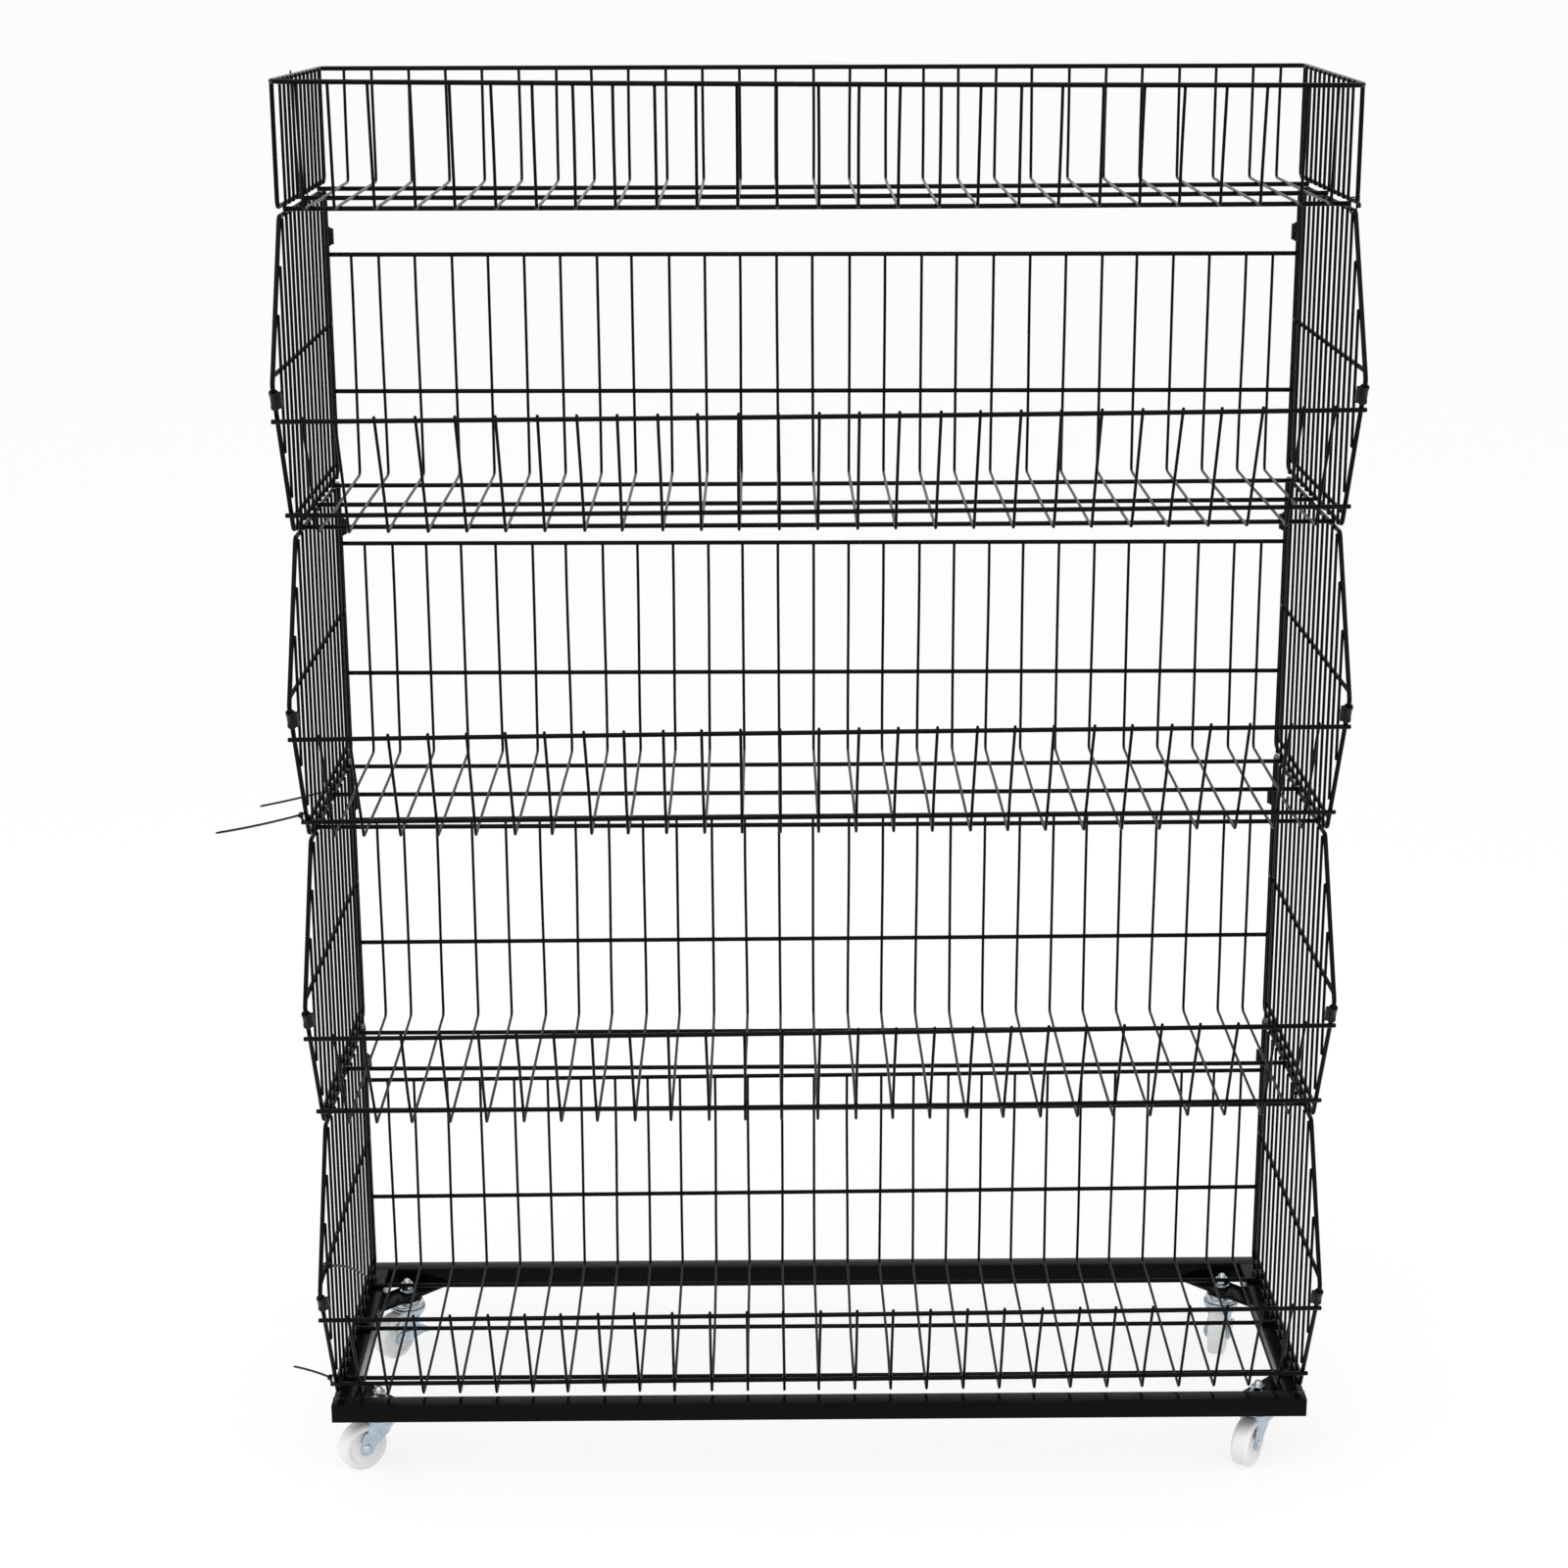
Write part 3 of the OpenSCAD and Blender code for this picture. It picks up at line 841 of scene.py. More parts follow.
@dataclass
class Grid:
    """What every basket has: thin bent wires welded to thick cross wires, and side panels.

    The real baskets are a little out of true. The shifts that say so are at most the
    millimetres below, and each basket and wire has its own share of them.
    """

    tier: int
    name: str
    lip: float
    lip_top: float
    tilt: Tilt
    # Length of a thin wire's rounded tip and the share of the diameter that is left at its end
    tip: float = 0.5
    tip_share: float = 0.7
    # Welds: radius as a share of the wire's diameter, and place as a share of the way from the
    # thick wire's middle to the thin one's
    spot_share: float = 0.68
    weld_share: float = 0.62
    # How far an upright reaches past the wires that it is welded to
    past_rail: float = 1.2
    # Where the front rim's tilt begins, and the length over which it and the others grow
    tilt_from: float = 250.0
    tilt_over: float = 110.0
    grow_over: float = 60.0
    back_over: float = 30.0
    # Bows of the front rim, of the floor between its ends and of the back
    rim_bow: float = 1.2
    floor_bow: float = 0.8
    back_bow: float = 0.8
    # Strays of a thin wire: to one side, in a long wave and in a short one
    wire_off: float = 0.7
    long_wave: float = 0.8
    short_wave: float = 0.5
    wave_mm: float = 120.0
    wave_ratio: float = 2.3
    # Strays of an upright of a side panel
    upright_lean: float = 0.6
    upright_bow: float = 0.8

    def at(self, x: float, u: float, h: float) -> Point:
        """Returns a place in the rack for a place forward of the back wires and a height."""
        return SIZES.place(self.tier, x, u, h)

    def front_share(self, u: float, h: float) -> float:
        """Returns how far a point takes part in the front rim's tilt, from 0 to 1."""
        return ease(clamp((u - self.tilt_from) / self.tilt_over))

    def sag(self, co: Vector, wire: int = -1) -> Vector:
        """Says how far the real basket strays from the drawing at a point.

        Args:
            co: a point in metres.
            wire: number of the thin wire, or -1 for the thick ones.

        Returns:
            The shift in metres.
        """
        x = co.x / (SIZES.base_w / 2 * MM)
        u = SIZES.back_y - co.y / MM
        h = co.z / MM - SIZES.floor_z(self.tier)
        front = self.front_share(u, h)
        high = clamp(h / self.grow_over)
        arch = 1 - x * x
        rise = x * (front * self.tilt.front + (1 - front) * high * self.tilt.back)
        rise += front * self.rim_bow * chance(self.tier, 5) * arch
        rise -= clamp(u / self.grow_over) * (1 - front) * (1 - high) * self.floor_bow * arch
        near = max(0.0, 1 - u / self.back_over)
        out = near * high * self.back_bow * chance(self.tier, 9) * arch
        side = 0.0
        if wire >= 0:
            run = (u + h) / self.wave_mm
            side = self.wire_off * chance(self.tier, wire, 1)
            side += self.long_wave * chance(self.tier, wire, 2) * math.sin(run)
            quick = math.sin(self.wave_ratio * run + 1)
            side += self.short_wave * chance(self.tier, wire, 3) * quick
        return Vector((side, out, rise)) * MM

    def warp(self, piece: Piece, wire: int = -1) -> Piece:
        """Moves a piece's vertices by the basket's sag.

        Args:
            piece: the piece.
            wire: number of the thin wire, or -1 for the thick ones.

        Returns:
            The piece.
        """
        for vertex in piece.data.vertices:
            vertex.co += self.sag(vertex.co, wire)
        return piece

    def crossings(self) -> list[Crossing]:
        """Lists the thick wires that cross the thin ones."""
        return [Crossing(u, -SIZES.stack, SIZES.cross_end, 0.0, -1.0) for u in SIZES.cross_at]

    def lip_wire(self, h: float) -> Flat:
        """Works out where a thick wire lies on the outside of the lip.

        Args:
            h: height at which it is welded to the lip.

        Returns:
            Its forward place and height.
        """
        r, a = SIZES.bend_r, self.lip
        u0 = SIZES.floor_d - r * math.tan(a / 2) + r * math.sin(a)
        h0 = r * (1 - math.cos(a))
        u = u0 + (h - h0) / math.tan(a) + SIZES.stack * math.sin(a)
        return (u, h - SIZES.stack * math.cos(a))

    def thin_wires(self, back_top: float) -> Piece:
        """Bends one thin wire down the back, along the floor and up the lip, and repeats it.

        Args:
            back_top: height of the wire's upper end at the back.

        Returns:
            All thin wires of the basket as one piece.
        """
        r, tip, share = SIZES.bend_r, self.tip, self.tip_share
        reach = r * math.tan(self.lip / 2)
        rise = r * (1 - math.cos(self.lip))
        wire = Wire(self.at(0, 0, back_top), Vector((0, 0, -1)),
                    SIZES.drawn(SIZES.thin_d) * share, 8)
        wire.run(tip).taper(1 / share).run(back_top - tip - r, 5)
        wire.bend(LEFTWARDS, math.pi / 2, r, 5)
        wire.run(SIZES.floor_d - reach - r, 5)
        wire.bend(LEFTWARDS, self.lip, r, 5)
        wire.run((self.lip_top - rise) / math.sin(self.lip) - tip, 4).run(tip).taper(share)
        master = wire.finish("thin_wire", 60.0)
        copies = []
        for i in range(SIZES.wire_count):
            copies.append(self.warp(Shop.copy(master, Shop.shift(SIZES.wire_at(i), 0, 0)), i))
        bpy.data.objects.remove(master)
        return Shop.join(self.name + "_thin_wires", copies)

    def spot(self) -> Piece:
        """Melts one spot weld: the small swelling of coated metal where two wires cross.

        Returns:
            The weld, at the origin.
        """
        Shop.clear()
        radius = SIZES.drawn(SIZES.thin_d) * self.spot_share * MM
        bpy.ops.mesh.primitive_uv_sphere_add(segments=8, ring_count=5, radius=radius)
        bpy.ops.object.shade_smooth()
        return bpy.context.object

    def spot_row(self) -> Piece:
        """Sets one spot weld for every thin wire, in a row through the origin.

        Returns:
            The row.
        """
        master = self.spot()
        places = [SIZES.wire_at(i) for i in range(SIZES.wire_count)]
        row = [Shop.copy(master, Shop.shift(x, 0, 0)) for x in places]
        bpy.data.objects.remove(master)
        return Shop.join("spot_row", row)

    def weld_on(self, row: Piece, crossing: Crossing) -> Piece:
        """Lays the row of spot welds under a thick wire, and each weld on its thin wire.

        Args:
            row: the row of welds, which is copied.
            crossing: the thick wire.

        Returns:
            The wire's welds.
        """
        depth = SIZES.stack * self.weld_share
        u = crossing.u - depth * crossing.out_u
        spots = Shop.copy(row, Shop.shift(*self.at(0, u, crossing.h - depth * crossing.out_h)))
        for vertex in spots.data.vertices:
            x = vertex.co.x
            nearest = min(range(SIZES.wire_count), key=lambda i: abs(SIZES.wire_at(i) * MM - x))
            vertex.co += self.sag(vertex.co, nearest)
        return spots

    def cross_wires(self) -> Piece:
        """Lays the thick wires across the thin ones and welds each crossing.

        Returns:
            The thick wires with their welds.
        """
        row = self.spot_row()
        parts = []
        for c in self.crossings():
            ends = self.at(-c.half, c.u, c.h), self.at(c.half, c.u, c.h)
            bar = straight_wire("cross", *ends, SIZES.drawn(SIZES.thick_d), 12, 14)
            parts += [self.warp(bar), self.weld_on(row, c)]
        bpy.data.objects.remove(row)
        return Shop.join(self.name + "_cross_wires", parts)

    def upright(self, side: Side, u: float, low: float, high: float, number: int) -> Piece:
        """Sets one thin upright on the inner face of a side panel.

        Args:
            side: the panel's side.
            u: its place forward of the back wires.
            low: height of the wire that it is welded to below.
            high: height of the wire that it is welded to above.
            number: its number, counted from the back.

        Returns:
            The upright.
        """
        x = side.value * (SIZES.side_x - SIZES.stack)
        ends = self.at(x, u, low - self.past_rail), self.at(x, u, high + self.past_rail)
        piece = straight_wire("upright", *ends, SIZES.drawn(SIZES.thin_d), 8, 5)
        lean = self.upright_lean * chance(self.tier, number, side.value + 3)
        bow = self.upright_bow * chance(self.tier, number, side.value + 7)
        span = max(1.0, high - low)
        for vertex in piece.data.vertices:
            share = (vertex.co.z / MM - SIZES.floor_z(self.tier) - low) / span
            vertex.co.y += MM * (lean * (share - 0.5) + bow * math.sin(math.pi * clamp(share)))
        return piece

    def uprights(self, side: Side, end: float, edge: Callable[[float], Flat],
                 rails: Sequence[float]) -> list[Piece]:
        """Sets the uprights of a side panel and their spot welds.

        Args:
            side: the panel's side.
            end: forward place that the last upright stays behind.
            edge: gives the border's lowest and highest point at a place.
            rails: heights of the wires between that the uprights are welded to.

        Returns:
            The uprights and welds.
        """
        parts = []
        master = self.spot()
        x = side.value * (SIZES.side_x - SIZES.stack * self.weld_share)
        u = SIZES.inset + SIZES.hairpin + SIZES.side_pitch / 2
        number = 0
        while u <= end:
            low, high = edge(u)
            parts.append(self.upright(side, u, low, high, number))
            for h in (low, *rails, high):
                if low <= h <= high:
                    parts.append(Shop.copy(master, Shop.shift(*self.at(x, u, h))))
            u += SIZES.side_pitch
            number += 1
        bpy.data.objects.remove(master)
        return parts


@dataclass
class TallBasket(Grid):
    """One of the four stacked baskets with an open front above its lip."""

    border_r: float = 8.0
    second_r: float = 5.0
    sleeve_play: float = 0.05
    catch_w: float = 5.0
    catch_out: float = 2.6
    catch_end: float = 1.4

    TILTS: ClassVar[dict[int, Tilt]] = {1: Tilt(3.2, 2.6), 2: Tilt(3.8, 1.4),
                                        3: Tilt(3.5, -1.6), 4: Tilt(2.9, -1.8)}

    @classmethod
    def of_tier(cls, tier: int) -> "TallBasket":
        """Returns the basket of a tier, counted from 1 at the bottom."""
        top = SIZES.lip_h + SIZES.nub
        return cls(tier, f"basket{tier}", SIZES.lip_angle(), top, cls.TILTS[tier])

    def crossings(self) -> list[Crossing]:
        """Adds two wires behind the back and two on the lip to those under the floor.

        Returns:
            All thick wires of the basket.
        """
        back, end, rim_end = -SIZES.stack, SIZES.cross_end, SIZES.rim_end
        backs = [Crossing(back, h, end, -1.0, 0.0) for h in (SIZES.back_h, SIZES.mid_h)]
        out = math.sin(self.lip), -math.cos(self.lip)
        lip_heights = (SIZES.lip_low_h, SIZES.lip_h)
        lips = [Crossing(*self.lip_wire(h), rim_end, *out) for h in lip_heights]
        return backs + super().crossings() + lips

    def edge(self, u: float) -> Flat:
        """Works out a side panel's border at a place.

        Args:
            u: the place forward of the back wires.

        Returns:
            Heights of the border's lowest and highest point there.
        """
        nose = SIZES.inner_u(SIZES.nose_h)
        foot = SIZES.inner_u(SIZES.inset)
        high = SIZES.side_top
        low = SIZES.inset
        if u > SIZES.shoulder_u:
            high += (SIZES.nose_h - high) * (u - SIZES.shoulder_u) / (nose - SIZES.shoulder_u)
        if u > foot:
            low += (SIZES.nose_h - low) * (u - foot) / (nose - foot)
        return (low, high)

    def side_panel(self, side: Side) -> Piece:
        """Bends a side panel: its border, its doubled post and foot, a middle wire, uprights.

        Args:
            side: the panel's side.

        Returns:
            The panel.
        """
        x = side.value * SIZES.side_x
        nose = SIZES.inner_u(SIZES.nose_h)
        low, top, middle = SIZES.inset, SIZES.side_top, SIZES.side_mid_h
        rung = SIZES.drawn(SIZES.rung_d)
        corners = [(low, low), (SIZES.inner_u(low), low), (nose, SIZES.nose_h),
                   (SIZES.shoulder_u, top), (low, top)]
        parts = [bent_wire("border", [self.at(x, *c) for c in corners], self.border_r,
                           SIZES.drawn(SIZES.thick_d), 12, closed=True)]
        second = low + SIZES.hairpin
        hairpin = [(second, top), (second, second), (SIZES.inner_u(second), second)]
        parts.append(bent_wire("second_post", [self.at(x, *c) for c in hairpin],
                               self.second_r, rung, 10))
        share = (middle - SIZES.nose_h) / (top - SIZES.nose_h)
        ahead = nose + (SIZES.shoulder_u - nose) * share
        ends = self.at(x, low, middle), self.at(x, ahead, middle)
        parts.append(straight_wire("middle", *ends, rung, 10, 6))
        last = nose - SIZES.side_pitch / 2
        parts += self.uprights(side, last, self.edge, (second, middle))
        return Shop.join(f"{self.name}_{side.name.lower()}_side_wires", parts)

    def sleeve(self) -> Piece:
        """Moulds one lock sleeve: a tube with collars at both ends and a square catch.

        Returns:
            The sleeve, along Z from the origin.
        """
        r, l = SIZES.sleeve_d / 2, SIZES.sleeve_l
        bore = SIZES.drawn(SIZES.thick_d) / 2 + self.sleeve_play
        profile = [(bore, 0.6), (bore + 0.6, 0.0), (r - 0.6, 0.0), (r, 0.7), (r, 2.8),
                   (r - 0.5, 3.4), (r - 0.5, l - 3.4), (r, l - 2.8), (r, l - 0.7), (r - 0.6, l),
                   (bore + 0.6, l), (bore, l - 0.6)]
        tube = Shop.turned("sleeve", profile, 20)
        near, far, end = bore + 0.6, r + self.catch_out, self.catch_end
        block = [(near, end), (far, end), (far, l - end), (near, l - end)]
        catch = Shop.sheet("catch", block, self.catch_w, 0.6)
        Shop.edit(catch)
        Shop.pick_faces(catch, lambda middle, normal: normal.x > FACING)
        bpy.ops.mesh.inset(thickness=0.9 * MM, depth=-0.5 * MM)
        Shop.settle()
        Shop.place(catch, Shop.shift(0, 0, -self.catch_w / 2), Shop.spin(math.pi / 2, "X"))
        made = Shop.join("sleeve", [tube, catch])
        Shop.smooth(made, 40.0)
        return made

    def sleeves(self) -> Piece:
        """Puts the sleeves on the panels' front edges and back posts.

        Returns:
            The basket's four sleeves.
        """
        master = self.sleeve()
        a = SIZES.lip_angle()
        low = SIZES.lip_h + SIZES.sleeve_gap * math.sin(a)
        high = SIZES.back_h + SIZES.thick_d / 2 + SIZES.sleeve_gap
        copies = []
        for side in Side:
            x = side.value * SIZES.side_x
            inward = Shop.spin(0 if side is Side.LEFT else math.pi, "Z")
            back = Shop.shift(*self.at(x, SIZES.inset, high))
            front = Shop.shift(*self.at(x, SIZES.inner_u(low), low))
            copies.append(Shop.copy(master, inward, back))
            copies.append(Shop.copy(master, inward, Shop.spin(math.pi / 2 - a, "X"), front))
        bpy.data.objects.remove(master)
        return Shop.join(self.name + "_lock_sleeves", copies)

    def build(self) -> None:
        """Makes and dresses every piece of the basket."""
        grid = [f"{self.name}_{part}" for part in ("back", "floor", "front")]
        coat = (WIRE_COAT, "rack", "black_powder_coat")
        Shop.dress(self.thin_wires(SIZES.back_h + SIZES.thin_d / 2), *coat, grid)
        Shop.dress(self.cross_wires(), *coat, grid)
        for side in Side:
            Shop.dress(self.side_panel(side), *coat, [f"{self.name}_{side.name.lower()}_side"])
        Shop.dress(self.sleeves(), BLACK_NYLON, "rack", "black_nylon", [self.name + "_sleeves"])


@dataclass
class TopBasket(Grid):
    """The shallow basket on top, with one rim bent round all four sides."""

    back_corner_r: float = 7.0
    foot_r: float = 6.0
    under_rim: float = 1.0
    tilt_h: float = 100.0
    rim_u: float = field(init=False)
    rim_h: float = field(init=False)

    NUB: ClassVar[float] = 1.3
    TILT: ClassVar[Tilt] = Tilt(-4.0, -0.8)

    def __post_init__(self) -> None:
        """Works out where the front rim lies."""
        self.rim_u, self.rim_h = self.lip_wire(SIZES.top_h)

    @classmethod
    def of_tier(cls, tier: int) -> "TopBasket":
        """Returns the basket for a tier, counted from 1 at the bottom."""
        lean = math.atan2(SIZES.top_h, SIZES.top_lean)
        return cls(tier, "top", lean, SIZES.top_h + cls.NUB, cls.TILT)

    def front_share(self, u: float, h: float) -> float:
        """Returns a share that grows evenly from the back rim to the front rim."""
        return clamp(u / self.rim_u) * clamp(h / self.tilt_h)

    def rim(self) -> Piece:
        """Bends the rim from one wire, with wide corners in front and tight ones behind.

        Returns:
            The rim.
        """
        x, back = SIZES.side_x, -SIZES.stack
        corners = [(0, back), (-x, back), (-x, self.rim_u), (x, self.rim_u), (x, back)]
        heights = [SIZES.top_h, SIZES.top_h, self.rim_h, self.rim_h, SIZES.top_h]
        path = [Vector(self.at(a, u, h)) for (a, u), h in zip(corners, heights)]
        wire = Wire(path[0], LEFTWARDS, SIZES.drawn(SIZES.thick_d), 12)
        stops = path[1:] + [path[0]]
        for i, end in enumerate(stops[:-1]):
            radius = SIZES.top_corner_r if i in (1, 2) else self.back_corner_r
            wire.heading = (end - wire.at).normalized()
            wire.run((end - wire.at).length - radius, 8)
            ahead = (stops[i + 1] - end).normalized()
            wire.bend(wire.heading.cross(ahead), wire.heading.angle(ahead), radius, 6)
        wire.run((stops[-1] - wire.at).length, 8)
        return self.warp(wire.finish("rim"))

    def rim_spots(self) -> Piece:
        """Welds the thin wires to the rim behind and in front.

        Returns:
            The welds.
        """
        row = self.spot_row()
        behind = Crossing(-SIZES.stack, SIZES.top_h, SIZES.side_x, -1.0, 0.0)
        ahead = Crossing(self.rim_u, self.rim_h, SIZES.side_x, 1.0, 0.0)
        parts = [self.weld_on(row, behind), self.weld_on(row, ahead)]
        bpy.data.objects.remove(row)
        return Shop.join("rim_spots", parts)

    def side_panel(self, side: Side) -> Piece:
        """Bends the end panel: a wire down the back, along the foot and up the front.

        Args:
            side: the panel's side.

        Returns:
            The panel.
        """
        x = side.value * SIZES.side_x
        low = SIZES.inset
        front = self.rim_u - SIZES.top_corner_r - SIZES.thick_d / 2
        path = [(low, SIZES.top_h - self.under_rim), (low, low), (SIZES.floor_d - low, low),
                (front, self.rim_h - self.under_rim)]
        parts = [bent_wire("border", [self.at(x, *c) for c in path], self.foot_r,
                           SIZES.drawn(SIZES.rung_d), 12)]
        last = SIZES.floor_d - SIZES.side_pitch / 2
        parts += self.uprights(side, last, lambda u: (low, self.rim_h), ())
        return self.warp(Shop.join(f"top_{side.name.lower()}_side_wires", parts))

    def build(self) -> None:
        """Makes and dresses every piece of the top basket."""
        coat = (WIRE_COAT, "rack", "black_powder_coat")
        grid = ["top_back", "top_floor", "top_front"]
        Shop.dress(self.thin_wires(SIZES.top_h + SIZES.thin_d / 2), *coat, grid)
        rims = [self.rim(), self.rim_spots(), self.cross_wires()]
        Shop.dress(Shop.join("top_rim_and_cross_wires", rims), *coat, grid)
        for side in Side:
            Shop.dress(self.side_panel(side), *coat, [f"top_{side.name.lower()}_side"])


# Base frame


@dataclass
class BaseFrame:
    """The welded square tube frame with a flat bar across each corner."""

    corner_r: float = 1.8
    plug_in: float = 0.2
    plug_r: float = 1.6
    # Weld beads: thickness, how far they sink into the steel, and their ripples
    bead: float = 2.6
    bead_start: float = 0.6
    bead_sink: float = 0.2
    top_bead_sink: float = 1.1
    bead_short: float = 3.0
    ripples: int = 9
    swell: float = 1.22
    draw_in: float = 1 / 1.18
    uneven: float = 0.05
    # Corner bars: gap to the tubes, their hole for a caster's stem, and their beads
    bar_gap: float = 0.3
    hole_r: float = 4.3
    bar_bead_share: float = 0.9
    bar_bead_in: float = 0.4
    bar_bead_sink: float = 0.6

    def ring(self, half: float, r: float) -> list[Flat]:
        """Draws a square outline with round corners.

        Args:
            half: half its width.
            r: radius of its corners.

        Returns:
            Its points, anticlockwise.
        """
        points = []
        for k, (sx, sy) in enumerate(((1, 1), (-1, 1), (-1, -1), (1, -1))):
            for step in range(4):
                a = math.pi / 2 * (k + step / 3)
                x = sx * (half - r) + r * math.cos(a)
                points.append((x, sy * (half - r) + r * math.sin(a)))
        return points

    def tube(self, length: float) -> Piece:
        """Rolls a hollow square tube along X: a ring of faces, extruded.

        Args:
            length: its length in millimetres.

        Returns:
            The tube, centred on the origin.
        """
        made = Shop.outline(self.ring(SIZES.tube / 2, self.corner_r))
        bpy.ops.mesh.inset(thickness=SIZES.tube_wall * MM, depth=0)
        bpy.ops.mesh.delete(type="FACE")
        bpy.ops.mesh.select_all(action="SELECT")
        Shop.extrude(Vector((0, 0, length * MM)))
        Shop.settle()
        Shop.place(made, Shop.shift(0, 0, -length / 2), Shop.spin(math.pi / 2, "Y"))
        Shop.smooth(made, 35.0)
        return made

    def plug(self) -> Piece:
        """Presses the flat plate that closes a tube's end, with a rounded rim.

        Returns:
            The plate, across X.
        """
        square = self.ring(SIZES.tube / 2 - self.plug_in, self.plug_r)
        plate = Shop.sheet("plug", square, SIZES.tube_wall, 0.6, 3)
        Shop.place(plate, Shop.spin(math.pi / 2, "Y"))
        Shop.smooth(plate, 40.0)
        return plate

    def weld(self, length: float, number: int) -> Piece:
        """Lays a weld bead along Z: a low rippled half round.

        Args:
            length: its length in millimetres.
            number: tells its uneven ripples from another bead's.

        Returns:
            The bead, centred on the origin.
        """
        wire = Wire((0, 0, -length / 2), Vector((0, 0, 1)), self.bead * self.bead_start, 8)
        for i in range(self.ripples):
            change = self.swell if i % 2 == 0 else self.draw_in
            wire.run(length / self.ripples).taper(change + self.uneven * chance(number, i))
        return wire.finish("weld", 60.0)

    def long_rail(self, name: str, s: int) -> None:
        """Builds and dresses the front or back rail with the plates that close it.

        Args:
            name: the rail's node.
            s: -1 in front, 1 behind.
        """
        middle = (SIZES.base_d - SIZES.tube) / 2
        parts = [self.tube(SIZES.base_w - 2 * self.plug_in)]
        for end in (-1, 1):
            inner = SIZES.base_w / 2 - (SIZES.tube_wall if end > 0 else 0)
            parts.append(Shop.place(self.plug(), Shop.shift(end * inner, 0, 0)))
        piece = Shop.join(name + "_tube", parts)
        Shop.place(piece, Shop.shift(0, s * middle, SIZES.rail_z + SIZES.tube / 2))
        Shop.dress(piece, TUBE_COAT, "rack", "black_powder_coat", [name])

    def short_rail(self, name: str, s: int) -> None:
        """Builds and dresses a side rail with the beads that hold it to the long ones.

        Args:
            name: the rail's node.
            s: -1 at the left, 1 at the right.
        """
        length = SIZES.base_d - 2 * SIZES.tube
        half = SIZES.tube / 2
        bead_l = SIZES.tube - self.bead_short
        parts = [Shop.place(self.tube(length), Shop.spin(math.pi / 2, "Z"))]
        for end in (-1, 1):
            y = end * (length / 2 - self.bead_sink)
            for inner in (-1, 1):
                bead = self.weld(bead_l, end + 2 * inner + 5 * s)
                x = inner * (half - self.bead_sink)
                parts.append(Shop.place(bead, Shop.shift(x, y, 0)))
            bead = self.weld(bead_l, end + 3 * s)
            parts.append(Shop.place(bead, Shop.spin(math.pi / 2, "Y"),
                                    Shop.shift(0, y, half - self.top_bead_sink)))
        piece = Shop.join(name + "_tube", parts)
        middle = (SIZES.base_w - SIZES.tube) / 2
        Shop.place(piece, Shop.shift(s * middle, 0, SIZES.rail_z + half))
        Shop.dress(piece, TUBE_COAT, "rack", "black_powder_coat", [name])

    def bar(self, near: float, far: float) -> Piece:
        """Cuts one flat bar with the hole for its caster's stem.

        Args:
            near: where its inner edge meets the tubes, from the corner.
            far: where its outer edge meets them.

        Returns:
            The bar, for a corner that opens to +X and +Y.
        """
        gap = self.bar_gap
        corners = [(near, gap), (far - gap, gap), (gap, far - gap), (gap, near)]
        bar = Shop.sheet("bar", corners, SIZES.strap_t, 0.6)
        reach = SIZES.strap_set / math.sqrt(2)
        drill = [(0, -1), (self.hole_r, -1), (self.hole_r, 6), (0, 6)]
        cut = Shop.turned("cut", drill, 24, closed=False)
        Shop.place(cut, Shop.shift(reach, reach, 0))
        Shop.take(bar)
        tool = bar.modifiers.new("hole", "BOOLEAN")
        tool.object = cut
        tool.operation = "DIFFERENCE"
        tool.solver = "EXACT"
        bpy.ops.object.modifier_apply(modifier=tool.name)
        bpy.data.objects.remove(cut)
        return bar

    def strap(self, corner: Corner) -> Piece:
        """Welds a flat bar into a corner of the frame.

        Args:
            corner: the corner.

        Returns:
            The bar with its two beads, in its place.
        """
        _, sx, sy, _ = corner.value
        near = (SIZES.strap_set - SIZES.strap_w / 2) * math.sqrt(2)
        far = (SIZES.strap_set + SIZES.strap_w / 2) * math.sqrt(2)
        parts = [self.bar(near, far)]
        swap = Matrix(((0, 1, 0, 0), (1, 0, 0, 0), (0, 0, 1, 0), (0, 0, 0, 1)))
        along = Shop.spin(math.pi / 2, "Y")
        beside = Shop.shift((near + far) / 2, self.bar_bead_in,
                            SIZES.strap_t - self.bar_bead_sink)
        for turn in (0, 1):
            bead = self.weld((far - near) * self.bar_bead_share, sx + 3 * sy + turn)
            Shop.place(bead, along, beside)
            parts.append(Shop.place(bead, swap) if turn else bead)
        made = Shop.join("bar", parts)
        x, y = SIZES.base_w / 2 - SIZES.tube, SIZES.base_d / 2 - SIZES.tube
        Shop.place(made, Matrix.Diagonal((-sx, -sy, 1, 1)),
                   Shop.shift(sx * x, sy * y, SIZES.rail_z))
        Shop.smooth(made, 35.0)
        return made

    def build(self) -> None:
        """Makes and dresses the base frame."""
        self.long_rail("base_front_rail", -1)
        self.long_rail("base_back_rail", 1)
        self.short_rail("base_left_rail", -1)
        self.short_rail("base_right_rail", 1)
        piece = Shop.join("corner_bars", [self.strap(corner) for corner in Corner])
        Shop.dress(piece, TUBE_COAT, "rack", "black_powder_coat", ["base_corner_straps"])


# Casters


